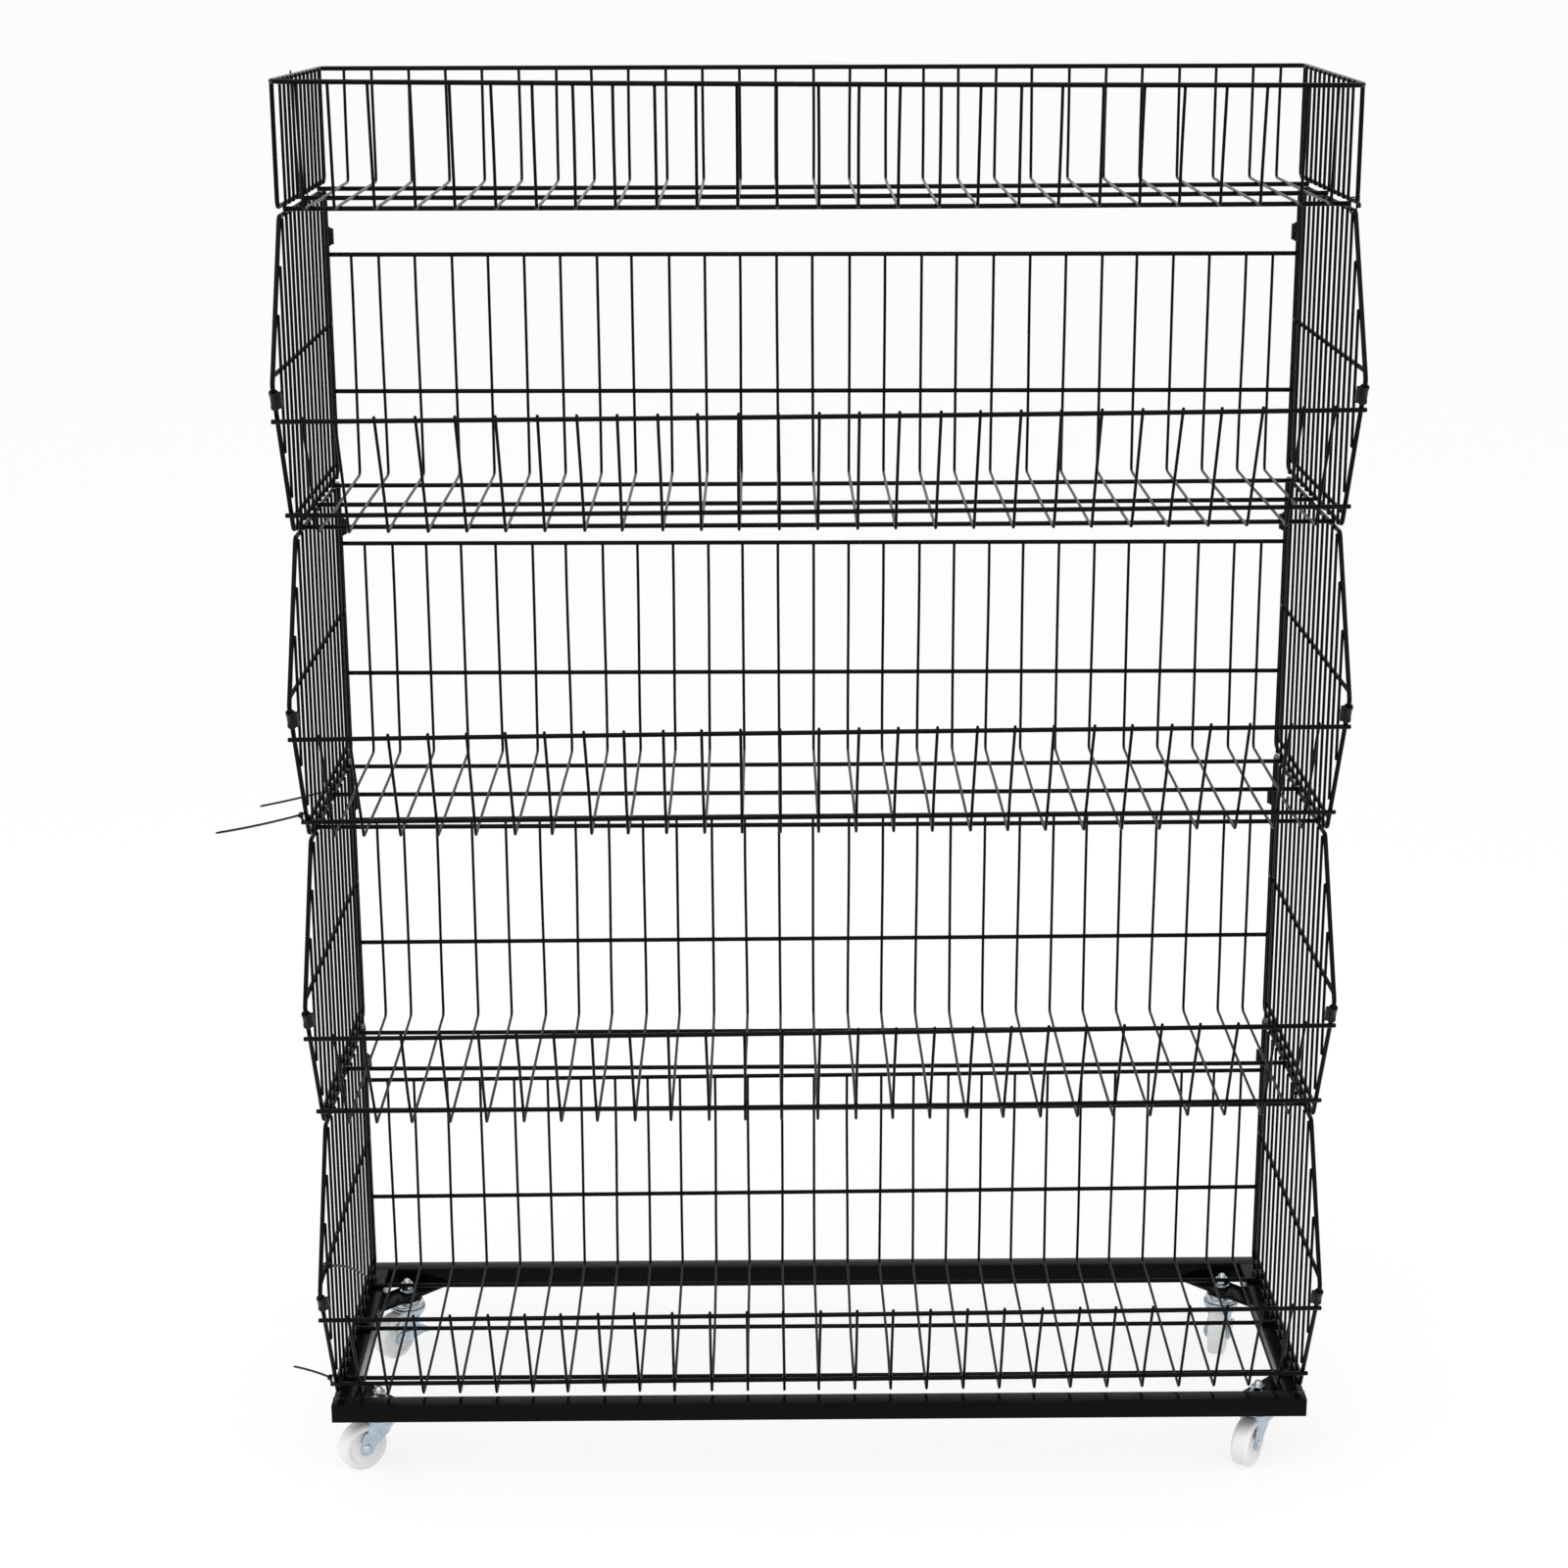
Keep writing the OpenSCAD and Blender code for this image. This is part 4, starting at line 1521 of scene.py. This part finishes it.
@dataclass
class Casters:
    """Four swivel casters, each turned, pressed and moulded once and then copied."""

    wheel_r: float = 25.0
    wheel_w: float = 18.8
    trail: float = 22.0
    axle_r: float = 3.0
    # Fork: its sheet, its round top plate and the room between its cheeks
    fork_t: float = 2.0
    fork_r: float = 19.4
    plate_z: float = 52.0
    cheek_in: float = 10.3
    boss_sink: float = 0.3
    # Fold of the cheeks behind, and where they pass from flat to round below the top plate
    fold_x: float = -2.0
    fold_r: float = 4.0
    fold_angle: float = 0.75
    round_limit: float = 0.97
    round_z: float = 38.0
    round_over: float = 13.0
    # Head: top of the bearing cup and the stem's thread
    cup_top: float = 65.95
    stem_r: float = 4.0
    thread_z: float = 66.0
    thread_top: float = 83.4
    thread_pitch: float = 1.0
    # Nut with its flange
    nut_z: float = 72.9
    nut_h: float = 7.4
    nut_flats: float = 13.0
    nut_turn: float = 15.0
    nut_bore_r: float = 4.06
    # Brake lever
    ear_t: float = 1.5
    ear_r: float = 7.0
    ear_play: float = 0.25
    masters: dict[str, Piece] = field(default_factory=dict)

    def head(self) -> Piece:
        """Turns the fixed head: bearing cup with its rolled lip, pin, foot, threaded stem.

        Returns:
            The head, on the swivel axis.
        """
        p, r = self.plate_z, self.stem_r
        top = p + self.fork_t
        cup = [(16.2, top + 0.9), (17.8, top + 0.8), (18.3, top + 1.3), (18.3, top + 2.8),
               (17.4, top + 3.6), (16.8, 60.4), (16.0, 62.2), (12.6, 64.2), (9.4, 65.1),
               (8.6, self.cup_top), (0.0, self.cup_top), (0.0, 59.5), (15.2, 59.5),
               (16.2, 58.6)]
        z = self.thread_z
        thread = [(0.0, z - 1.0), (r - 0.3, z - 1.0)]
        while z < self.thread_top:
            thread += [(r - 0.45, z), (r, z + 0.45)]
            z += self.thread_pitch
        thread += [(r - 0.5, z), (r - 1.3, z + 0.8), (0.0, z + 1.1)]
        foot = [(0.0, p - 2.2), (4.0, p - 2.15), (6.0, p - 1.6), (6.5, p - 0.3),
                (3.96, p - 0.3), (3.96, 60.0), (0.0, 60.0)]
        made = Shop.join("head", [Shop.turned("cup", cup, 40), Shop.turned("thread", thread, 24),
                                  Shop.turned("foot", foot, 28)])
        Shop.smooth(made, 32.0)
        return made

    def nut(self) -> Piece:
        """Presses a hex nut with chamfered corners, a countersunk thread and a flange.

        Returns:
            The nut, on the swivel axis.
        """
        z0, h, bore = self.nut_z, self.nut_h, self.nut_bore_r
        Shop.clear()
        bpy.ops.mesh.primitive_cylinder_add(
            vertices=6, radius=self.nut_flats / math.sqrt(3) * MM, depth=h * MM,
            location=(0, 0, (z0 + h / 2) * MM), rotation=(0, 0, math.radians(self.nut_turn)))
        nut = bpy.context.object
        bpy.ops.object.transform_apply(location=True, rotation=True, scale=True)
        Shop.edit(nut)
        Shop.pick_faces(nut, lambda middle, normal: abs(normal.z) > FACING)
        bpy.ops.mesh.inset(thickness=1.1 * MM, depth=0.0, use_individual=True)
        bpy.ops.mesh.inset(thickness=1.3 * MM, depth=-0.9 * MM, use_individual=True)
        Shop.settle()
        Shop.bevel(nut, 0.7, 3, 50.0)
        flange = [(bore, 72.0), (8.4, 72.0), (8.6, 72.3), (8.4, 72.8), (6.6, 73.5), (bore, 73.5)]
        nut = Shop.join("nut", [nut, Shop.turned("flange", flange, 40)])
        Shop.smooth(nut, 30.0)
        return nut

    def washer(self) -> Piece:
        """Turns the lock washer under the nut, a flange drawn as a low cone.

        Returns:
            The washer, on the swivel axis.
        """
        bore = self.nut_bore_r
        rim = [(bore, 70.05), (7.0, 70.05), (7.0, 70.7), (6.4, 71.5), (5.6, 71.95),
               (bore, 71.95)]
        made = Shop.turned("washer", rim, 32)
        Shop.smooth(made, 30.0)
        return made

    def cheek_outline(self) -> list[Flat]:
        """Draws a fork cheek: wide under the head, drawn in to a round eye at the axle.

        Returns:
            Its points along the trail and in height, anticlockwise.
        """
        eye, x, z = 8.0, self.trail, self.wheel_r
        points = []
        for step in range(14):
            a = math.radians(-160 + step * 15)
            points.append((x + eye * math.cos(a), z + eye * math.sin(a)))
        points += [(27.0, 36.0), (24.2, 42.0), (21.0, 47.6), (17.2, 51.2), (17.2, 53.2)]
        points += [(-17.6, 53.2), (-17.6, 47.8), (-15.6, 44.2), (-8.4, 39.4), (1.0, 34.0),
                   (9.0, 29.0)]
        return points

    def cheek_point(self, x: float, w: float, z: float) -> Vector:
        """Says where a point of the flat cheek lies once the fork is pressed.

        Args:
            x: place along the trail on the flat sheet.
            w: distance outwards from the sheet's middle.
            z: height.

        Returns:
            The point of the pressed cheek, on the side of -Y, in millimetres.
        """
        middle = self.cheek_in + self.fork_t / 2
        turn = min(self.fold_angle, max(0.0, (self.fold_x - x) / self.fold_r))
        flat = Vector((x, -middle - w))
        if turn > 0:
            rest = (self.fold_x - x) - self.fold_r * turn
            r = self.fold_r + w
            flat = Vector((self.fold_x - r * math.sin(turn) - rest * math.cos(turn),
                           -middle + self.fold_r - r * math.cos(turn) + rest * math.sin(turn)))
        ring = self.fork_r - self.fork_t / 2
        a = math.asin(max(-self.round_limit, min(self.round_limit, x / ring)))
        curved = Vector((math.sin(a), -math.cos(a))) * (ring + w)
        at = flat.lerp(curved, ease(clamp((z - self.round_z) / self.round_over)))
        return Vector((at.x, at.y, z))

    def cheek(self) -> Piece:
        """Presses one cheek: flat at the axle, folded in behind, and round under the head.

        Returns:
            The cheek on the side of -Y, with the boss of its axle hole.
        """
        t = self.fork_t
        side = Shop.sheet("cheek", self.cheek_outline(), t, 0.55)
        Shop.edit(side)
        # The flat sheet is cut where it will bend, and closer where it bends more
        for x in (-16.5, -15, -13.5, -12, -10, -8, -6.5, -5.5, -4.5, -3.5, -2.5, -1.5, 1, 3.5,
                  6, 8.5, 11, 13, 14.5, 16, 18):
            bpy.ops.mesh.select_all(action="SELECT")
            bpy.ops.mesh.bisect(plane_co=(x * MM, 0, 0), plane_no=(1, 0, 0))
        for z in range(36, 54, 2):
            bpy.ops.mesh.select_all(action="SELECT")
            bpy.ops.mesh.bisect(plane_co=(0, z * MM, 0), plane_no=(0, 1, 0))
        bpy.ops.object.mode_set(mode="OBJECT")
        for vertex in side.data.vertices:
            x, z, w = vertex.co / MM
            vertex.co = self.cheek_point(x, w - t / 2, z) * MM
        boss = Shop.turned("boss", [(3.05, 0.0), (6.2, 0.0), (5.6, 0.5), (3.05, 0.5)], 24)
        Shop.place(boss, Shop.spin(math.pi / 2, "X"),
                   Shop.shift(self.trail, -self.cheek_in - t + self.boss_sink, self.wheel_r))
        made = Shop.join("cheek", [side, boss])
        Shop.edit(made)
        Shop.settle()
        return made

    def fork(self) -> Piece:
        """Joins the fork's round top plate with its ball groove to the two cheeks.

        Returns:
            The fork, trailing along +X.
        """
        z, t, r = self.plate_z, self.fork_t, self.fork_r
        plate = [(4.05, z), (7.5, z), (9.0, z + 0.2), (14.0, z + 0.2), (15.5, z - 0.2),
                 (r - 1.6, z - 0.9), (r - 0.5, z - 0.8), (r, z), (r, z + t - 0.9),
                 (r - 0.3, z + t - 0.3), (r - 0.9, z + t), (14.6, z + t),
                 (13.4, z + t - 0.35), (10.6, z + t - 0.35), (9.4, z + t), (4.05, z + t)]
        cheek = self.cheek()
        twin = Shop.copy(cheek, Matrix.Diagonal((1, -1, 1, 1)))
        made = Shop.join("fork", [Shop.turned("plate", plate, 48), cheek, twin])
        Shop.smooth(made, 38.0)
        return made

    def on_axle(self, piece: Piece) -> Piece:
        """Lays a turned piece down and moves it to the wheel's axis."""
        return Shop.place(piece, Shop.spin(math.pi / 2, "X"),
                          Shop.shift(self.trail, 0, self.wheel_r))

    def axle(self, braked: bool) -> Piece:
        """Turns the riveted axle with two domed heads.

        Args:
            braked: whether it reaches through a brake lever too.

        Returns:
            The axle, in the wheel's axis.
        """
        half = self.cheek_in + self.fork_t + self.ear_play
        half += self.ear_t + self.ear_play if braked else 0
        line = [(0.0, -half - 2.0), (2.0, -half - 1.85), (3.7, -half - 1.3), (4.7, -half - 0.5),
                (4.85, -half - 0.1), (4.5, -half), (self.axle_r, -half)]
        line += [(a, -b) for a, b in reversed(line)]
        made = self.on_axle(Shop.turned("axle", line, 28, closed=False))
        Shop.smooth(made, 40.0)
        return made

    def wheel(self) -> Piece:
        """Moulds the wheel: flat tread with its parting line, round shoulders, dished sides.

        Returns:
            The wheel, on its axis.
        """
        r, w = self.wheel_r, self.wheel_w / 2
        half = [(3.06, 9.8), (6.4, 9.8), (7.0, 9.6), (7.3, 9.1), (7.6, 7.9), (8.2, 7.3),
                (9.2, 7.1), (16.2, 7.1), (17.2, 7.3), (17.9, 7.9), (18.4, w - 0.5),
                (19.0, w - 0.1), (19.8, w), (21.8, w), (22.9, w - 0.3), (23.8, w - 0.9),
                (24.5, w - 1.8), (24.9, w - 3.0), (r, w - 4.4), (r, 0.22), (r - 0.12, 0.12)]
        profile = half + [(a, -b) for a, b in reversed(half)]
        made = self.on_axle(Shop.turned("wheel", profile, 64))
        Shop.smooth(made, 34.0)
        return made

    def brake(self) -> Piece:
        """Stamps the brake lever: two tapered ears and a rolled pedal between them.

        Returns:
            The lever, on the wheel's axis.
        """
        gap = self.cheek_in + self.fork_t + self.ear_play
        parts = []
        eye = [math.radians(a) for a in range(-84, 97, 15)]
        ear = [(self.ear_r * math.cos(a), self.ear_r * math.sin(a)) for a in eye]
        ear += [(-12.0, 4.6), (-24.0, 2.2), (-32.6, 1.0), (-33.0, -4.4), (-24.0, -5.4),
                (-10.0, -6.6)]
        for s in (-1, 1):
            plate = Shop.sheet("ear", ear, self.ear_t, 0.4)
            y = s * gap + (self.ear_t if s > 0 else 0)
            parts.append(Shop.place(plate, Shop.spin(math.pi / 2, "X"), Shop.shift(0, y, 0)))
        width = 2 * (gap + self.ear_t)
        roll = [(-33.0, -4.6), (-35.0, -5.6), (-42.0, -5.9), (-44.4, -5.2), (-44.3, -3.8),
                (-41.8, -4.5), (-35.4, -4.2), (-32.2, -1.2), (-32.0, 0.6), (-33.0, 0.8)]
        pedal = Shop.sheet("pedal", roll, width, 0.35)
        parts.append(Shop.place(pedal, Shop.spin(math.pi / 2, "X"),
                                Shop.shift(0, width / 2, 0)))
        made = Shop.place(Shop.join("brake", parts), Shop.shift(self.trail, 0, self.wheel_r))
        Shop.smooth(made, 35.0)
        return made

    def put(self, name: str, corner: Corner, turned: bool) -> Piece:
        """Copies a master to a corner.

        Args:
            name: the master's name.
            corner: the corner.
            turned: whether the piece swivels and so is turned along the trail.

        Returns:
            The copy, in its place.
        """
        turn = Shop.spin(corner.heading if turned else 0.0, "Z")
        return Shop.copy(self.masters[name], turn, Shop.shift(*corner.place))

    def build_corner(self, corner: Corner) -> None:
        """Makes and dresses the moving pieces of one caster.

        Args:
            corner: the caster's corner.
        """
        zinc, label = "zinc_plated_steel", corner.label
        back = label.startswith("back")
        pieces = [("fork", ZINC, "swivel_", "fork_", zinc),
                  ("braked_axle" if back else "axle", TURNED_ZINC, "swivel_", "axle_", zinc),
                  ("wheel", WHITE_NYLON, "wheel_", "wheel_", "white_nylon")]
        if back:
            pieces.append(("brake", ZINC, "brake_", "brake_", zinc))
        for master, finish, body, node, slot in pieces:
            piece = self.put(master, corner, True)
            piece.name = f"{node}{label}_shaped"
            Shop.dress(piece, finish, body + label, slot, [node + label])

    def build(self) -> None:
        """Makes and dresses every piece of the four casters."""
        self.masters = {"head": self.head(), "nut": self.nut(), "washer": self.washer(),
                        "fork": self.fork(), "axle": self.axle(False),
                        "braked_axle": self.axle(True), "wheel": self.wheel(),
                        "brake": self.brake()}
        for name, node in (("head", "caster_stems"), ("nut", "caster_nuts"),
                           ("washer", "caster_lock_washers")):
            group = Shop.join(f"{node}_turned", [self.put(name, c, False) for c in Corner])
            Shop.dress(group, TURNED_ZINC, "rack", "zinc_plated_steel", [node])
        for corner in Corner:
            self.build_corner(corner)
        for master in self.masters.values():
            bpy.data.objects.remove(master)


# Cable ties


@dataclass
class Tie:
    """One cable tie: a band round two wires, a head on the band and a loose tail.

    The band is a loop of two inner widths, along the head's way and across it. The tail is
    a vector from the head to its tip, and curl is the angle by which it bends on the way.
    """

    middle: Point
    band: Flat
    axis: Vector
    head_way: Vector
    tail: Vector
    curl: float = 0.25
    twist: float = 0.9
    width: float = 2.6
    thickness: float = 1.1
    head_size: Point = (3.5, 4.6, 4.4)
    head_out: float = 1.3

    def out(self, further: float) -> Vector:
        """Returns a point on the band's head side, some way further out than the band."""
        reach = self.band[0] / 2 + self.thickness + further
        return Vector(self.middle) + self.head_way.normalized() * reach

    def loop(self) -> Piece:
        """Bends the band into a rounded loop.

        Returns:
            The band; its width lies along the tie's axis.
        """
        out = self.head_way.normalized()
        up = self.axis.cross(out).normalized()
        a = self.band[0] / 2 + self.thickness / 2
        b = self.band[1] / 2 + self.thickness / 2
        r = min(a, b) * 0.6
        wire = Wire(Vector(self.middle) + out * a, up,
                    strip=(self.width, self.thickness, self.axis))
        wire.run(b - r)
        for length in (2 * (a - r), 2 * (b - r), 2 * (a - r)):
            wire.bend(self.axis, math.pi / 2, r, 4).run(max(0.05, length))
        wire.bend(self.axis, math.pi / 2, r, 4).run(b - r)
        return wire.finish("band", 40.0)

    def head(self) -> Piece:
        """Moulds the head: a bevelled block with the slot that the strip runs through.

        Returns:
            The head, on the band.
        """
        out = self.head_way.normalized()
        up = self.axis.cross(out).normalized()
        Shop.clear()
        bpy.ops.mesh.primitive_cube_add(size=1)
        block = bpy.context.object
        block.scale = Vector(self.head_size) * MM
        bpy.ops.object.transform_apply(location=False, rotation=False, scale=True)
        Shop.edit(block)
        Shop.pick_faces(block, lambda middle, normal: abs(normal.y) > FACING)
        bpy.ops.mesh.inset(thickness=0.8 * MM, depth=0, use_individual=True)
        bpy.ops.mesh.inset(thickness=0.1 * MM, depth=-0.7 * MM, use_individual=True)
        Shop.settle()
        Shop.bevel(block, 0.45, 2, 60.0)
        turn = Matrix((out, up, self.axis.normalized())).transposed().to_4x4()
        Shop.place(block, turn, Matrix.Translation(self.out(self.head_out)))
        Shop.smooth(block, 35.0)
        return block

    def strip(self) -> Piece:
        """Draws the tail: a flat strip that leaves the head and curls a little to its tip.

        Returns:
            The tail.
        """
        way = self.tail.normalized()
        across = way.cross(Vector((0, 0, 1)))
        if across.length < 0.2:
            across = way.cross(Vector((0, 1, 0)))
        across.normalize()
        length = self.tail.length
        heading = Matrix.Rotation(-self.curl / 2, 3, across) @ way
        wide = Matrix.Rotation(self.twist, 3, heading) @ across
        wire = Wire(self.out(self.head_out), heading,
                    strip=(self.width * 0.95, self.thickness * 0.9, wide))
        wire.run(length * 0.08)
        wire.bend(across, self.curl, length * 0.84 / abs(self.curl), 12)
        wire.run(length * 0.06, 2).taper(0.55)
        return wire.finish("tail", 40.0)

    def build(self) -> Piece:
        """Makes the whole tie as one piece."""
        return Shop.join("tie", [self.loop(), self.head(), self.strip()])


@dataclass
class CableTies:
    """The six cable ties that hold the baskets together."""

    play: float = 0.4
    rung_play: float = 0.7
    cross_play: float = 0.25
    tier_gap: float = 6.0

    def between(self, n: int) -> float:
        """Returns the place between two uprights of a side panel, counted from the back."""
        return SIZES.inset + SIZES.hairpin + n * SIZES.side_pitch

    def ties(self) -> list[Tie]:
        """Lists the ties with their places.

        Returns:
            The ties: three that hold a basket to the one below, two that hold a front panel
            to its side panel and one round a middle wire.
        """
        x, d = SIZES.side_x, SIZES.thick_d
        along, left = Vector((0, 1, 0)), LEFTWARDS
        a = SIZES.lip_angle()
        stack = (d + self.play, 2 * SIZES.inset + self.tier_gap + d + self.play)
        single = (SIZES.rung_d + self.rung_play, SIZES.rung_d + self.rung_play)
        gap = d + self.cross_play
        corner = ((d + self.play) * math.sqrt(2) + Tie.width, gap + d + self.play)
        forward = SIZES.stack - gap / 2
        lip_u = SIZES.floor_d + SIZES.lip_run * SIZES.lip_low_h / SIZES.lip_h
        foot = (lip_u + forward * math.sin(a), SIZES.lip_low_h - forward * math.cos(a))
        slope = Vector((0, -math.cos(a), math.sin(a)))
        axis, head = (slope - left).normalized(), (slope + left).normalized()
        low = -self.tier_gap / 2
        at, side_mid = SIZES.place, SIZES.side_mid_h
        return [
            Tie(at(3, -x, self.between(5), low), stack, along, left, Vector((-62, -60, 1)), 0.06),
            Tie(at(3, -x, *foot), corner, axis, head, Vector((-66, -95, 11)), 0.07),
            Tie(at(1, -x, self.between(13), side_mid), single, along, -left,
                Vector((25, 65, -43)), -0.3),
            Tie(at(1, -x, *foot), corner, axis, head, Vector((-34, -18, 22)), -0.15),
            Tie(at(5, x, self.between(11), low), stack, -along, -left, Vector((2, 20, 88)), 0.12),
            Tie(at(5, -x, self.between(5), low), stack, along, left, Vector((-2, -6, 122)), 0.1),
        ]

    def build(self) -> None:
        """Makes and dresses all ties as one piece."""
        piece = Shop.join("cable_ties_moulded", [tie.build() for tie in self.ties()])
        Shop.dress(piece, BLACK_NYLON, "rack", "black_nylon", ["cable_ties"])


# Studio


@dataclass(frozen=True)
class Softbox:
    """One square lamp: its place, what it faces, its side in metres and its watts."""

    name: str
    place: Point
    target: Point
    size: float
    watts: float

    def hang(self) -> None:
        """Hangs the lamp."""
        Shop.clear()
        bpy.ops.object.light_add(type="AREA", location=self.place)
        lamp = bpy.context.object
        lamp.name = self.name
        lamp.data.size = self.size
        lamp.data.energy = self.watts
        way = Vector(self.target) - Vector(self.place)
        lamp.rotation_euler = way.to_track_quat("-Z", "Y").to_euler()


@dataclass
class Studio:
    """White floor, soft lights and a camera at the photograph's distance and height."""

    eye: Point = (-0.0466, -2.9, 1.5367)
    pitch: float = 16.157
    yaw: float = 0.275
    roll: float = -0.257
    focal_px: float = 3015.0
    frame_px: float = 1600.0
    sensor_mm: float = 36.0
    floor_m: float = 400.0
    floor_glow: float = 0.8
    sky_strength: float = 1.08
    lamps: tuple[Softbox, ...] = (
        Softbox("softbox_above", (-0.4, -1.2, 3.6), (0, 0, 0.8), 2.6, 46),
        Softbox("softbox_left", (-3.2, -2.4, 2.2), (0, 0, 0.7), 1.8, 22),
        Softbox("softbox_right", (3.2, -2.0, 2.4), (0, 0, 0.7), 1.8, 16))

    def seen(self, tree: bpy.types.NodeTree, share: float) -> bpy.types.NodeSocket:
        """Adds the nodes that tell rays to which the white background shows.

        Args:
            tree: the node tree.
            share: value for such rays; other rays get 0.

        Returns:
            The value's socket.
        """
        rays = add_node(tree, "ShaderNodeLightPath", {})
        either = add_node(
            tree, "ShaderNodeMath", {},
            [(rays.outputs["Is Camera Ray"], 0), (rays.outputs["Is Glossy Ray"], 1)],
            operation="MAXIMUM")
        any_ray = add_node(
            tree, "ShaderNodeMath", {},
            [(either.outputs[0], 0), (rays.outputs["Is Transmission Ray"], 1)],
            operation="MAXIMUM")
        scaled = add_node(tree, "ShaderNodeMath", {1: share}, [(any_ray.outputs[0], 0)],
                          operation="MULTIPLY")
        return scaled.outputs[0]

    def floor(self) -> None:
        """Lays a wide pale floor that is seen as nearly white and keeps a soft shadow."""
        Shop.clear()
        bpy.ops.mesh.primitive_plane_add(size=self.floor_m, location=(0, 0, 0))
        floor = bpy.context.object
        floor.name = "studio_floor"
        made = bpy.data.materials.new("white_studio_paint")
        made.use_nodes = True
        tree = made.node_tree
        tree.nodes.clear()
        paint = add_node(tree, "ShaderNodeBsdfDiffuse", {"Color": linear("#eeeeee")})
        glow = add_node(tree, "ShaderNodeEmission",
                        {"Color": linear("#ffffff"), "Strength": 1.0})
        mix = add_node(
            tree, "ShaderNodeMixShader", {},
            [(self.seen(tree, self.floor_glow), 0), (paint.outputs[0], 1), (glow.outputs[0], 2)])
        add_node(tree, "ShaderNodeOutputMaterial", {}, [(mix.outputs[0], "Surface")])
        floor.data.materials.append(made)

    def sky(self) -> None:
        """Surrounds the rack with a soft studio: bright overhead, dimmer round the sides."""
        world = bpy.data.worlds.new("studio")
        bpy.context.scene.world = world
        world.use_nodes = True
        tree = world.node_tree
        tree.nodes.clear()
        place = add_node(tree, "ShaderNodeTexCoord", {})
        parts = add_node(tree, "ShaderNodeSeparateXYZ", {}, [(place.outputs["Generated"], 0)])
        ramp = add_node(tree, "ShaderNodeValToRGB", {}, [(parts.outputs["Z"], "Fac")])
        stops = ramp.color_ramp.elements
        for stop, (at, tone) in zip(stops, ((0.02, "#d6d8da"), (0.8, "#ffffff"))):
            stop.position = at
            stop.color = linear(tone)
        soft = add_node(tree, "ShaderNodeBackground", {"Strength": self.sky_strength},
                        [(ramp.outputs["Color"], "Color")])
        white = add_node(tree, "ShaderNodeBackground",
                         {"Color": linear("#ffffff"), "Strength": 1.0})
        mix = add_node(
            tree, "ShaderNodeMixShader", {},
            [(self.seen(tree, 1.0), 0), (soft.outputs[0], 1), (white.outputs[0], 2)])
        add_node(tree, "ShaderNodeOutputWorld", {}, [(mix.outputs[0], "Surface")])

    def camera(self) -> None:
        """Sets the camera as near as the photograph's, without its vertical shift."""
        Shop.clear()
        bpy.ops.object.camera_add(location=self.eye)
        camera = bpy.context.object
        turn = Shop.spin(-math.radians(self.yaw), "Z")
        turn = turn @ Shop.spin(math.pi / 2 - math.radians(self.pitch), "X")
        camera.rotation_euler = (turn @ Shop.spin(math.radians(self.roll), "Z")).to_euler()
        camera.data.sensor_width = self.sensor_mm
        camera.data.lens = self.focal_px / self.frame_px * self.sensor_mm
        camera.data.clip_start = 0.1
        camera.data.clip_end = 600.0
        bpy.context.scene.camera = camera

    def build(self) -> None:
        """Sets up floor, lights and camera."""
        self.floor()
        self.sky()
        for lamp in self.lamps:
            lamp.hang()
        self.camera()
        bpy.context.scene.view_settings.view_transform = "Standard"


def main() -> None:
    """Builds the rack's pieces in order and reports each one."""
    logging.basicConfig(level=logging.INFO, format="%(message)s")
    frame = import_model()
    Shop.clear()
    Studio().build()
    for tier in (1, 2, 3, 4):
        TallBasket.of_tier(tier).build()
    TopBasket.of_tier(5).build()
    BaseFrame().build()
    Casters().build()
    CableTies().build()
    balls = frame["nodes"]["caster_balls"]
    Shop.paint(balls, BALL_STEEL)
    LOG.info("%s: polished", balls.name)


if __name__ == "__main__":
    main()
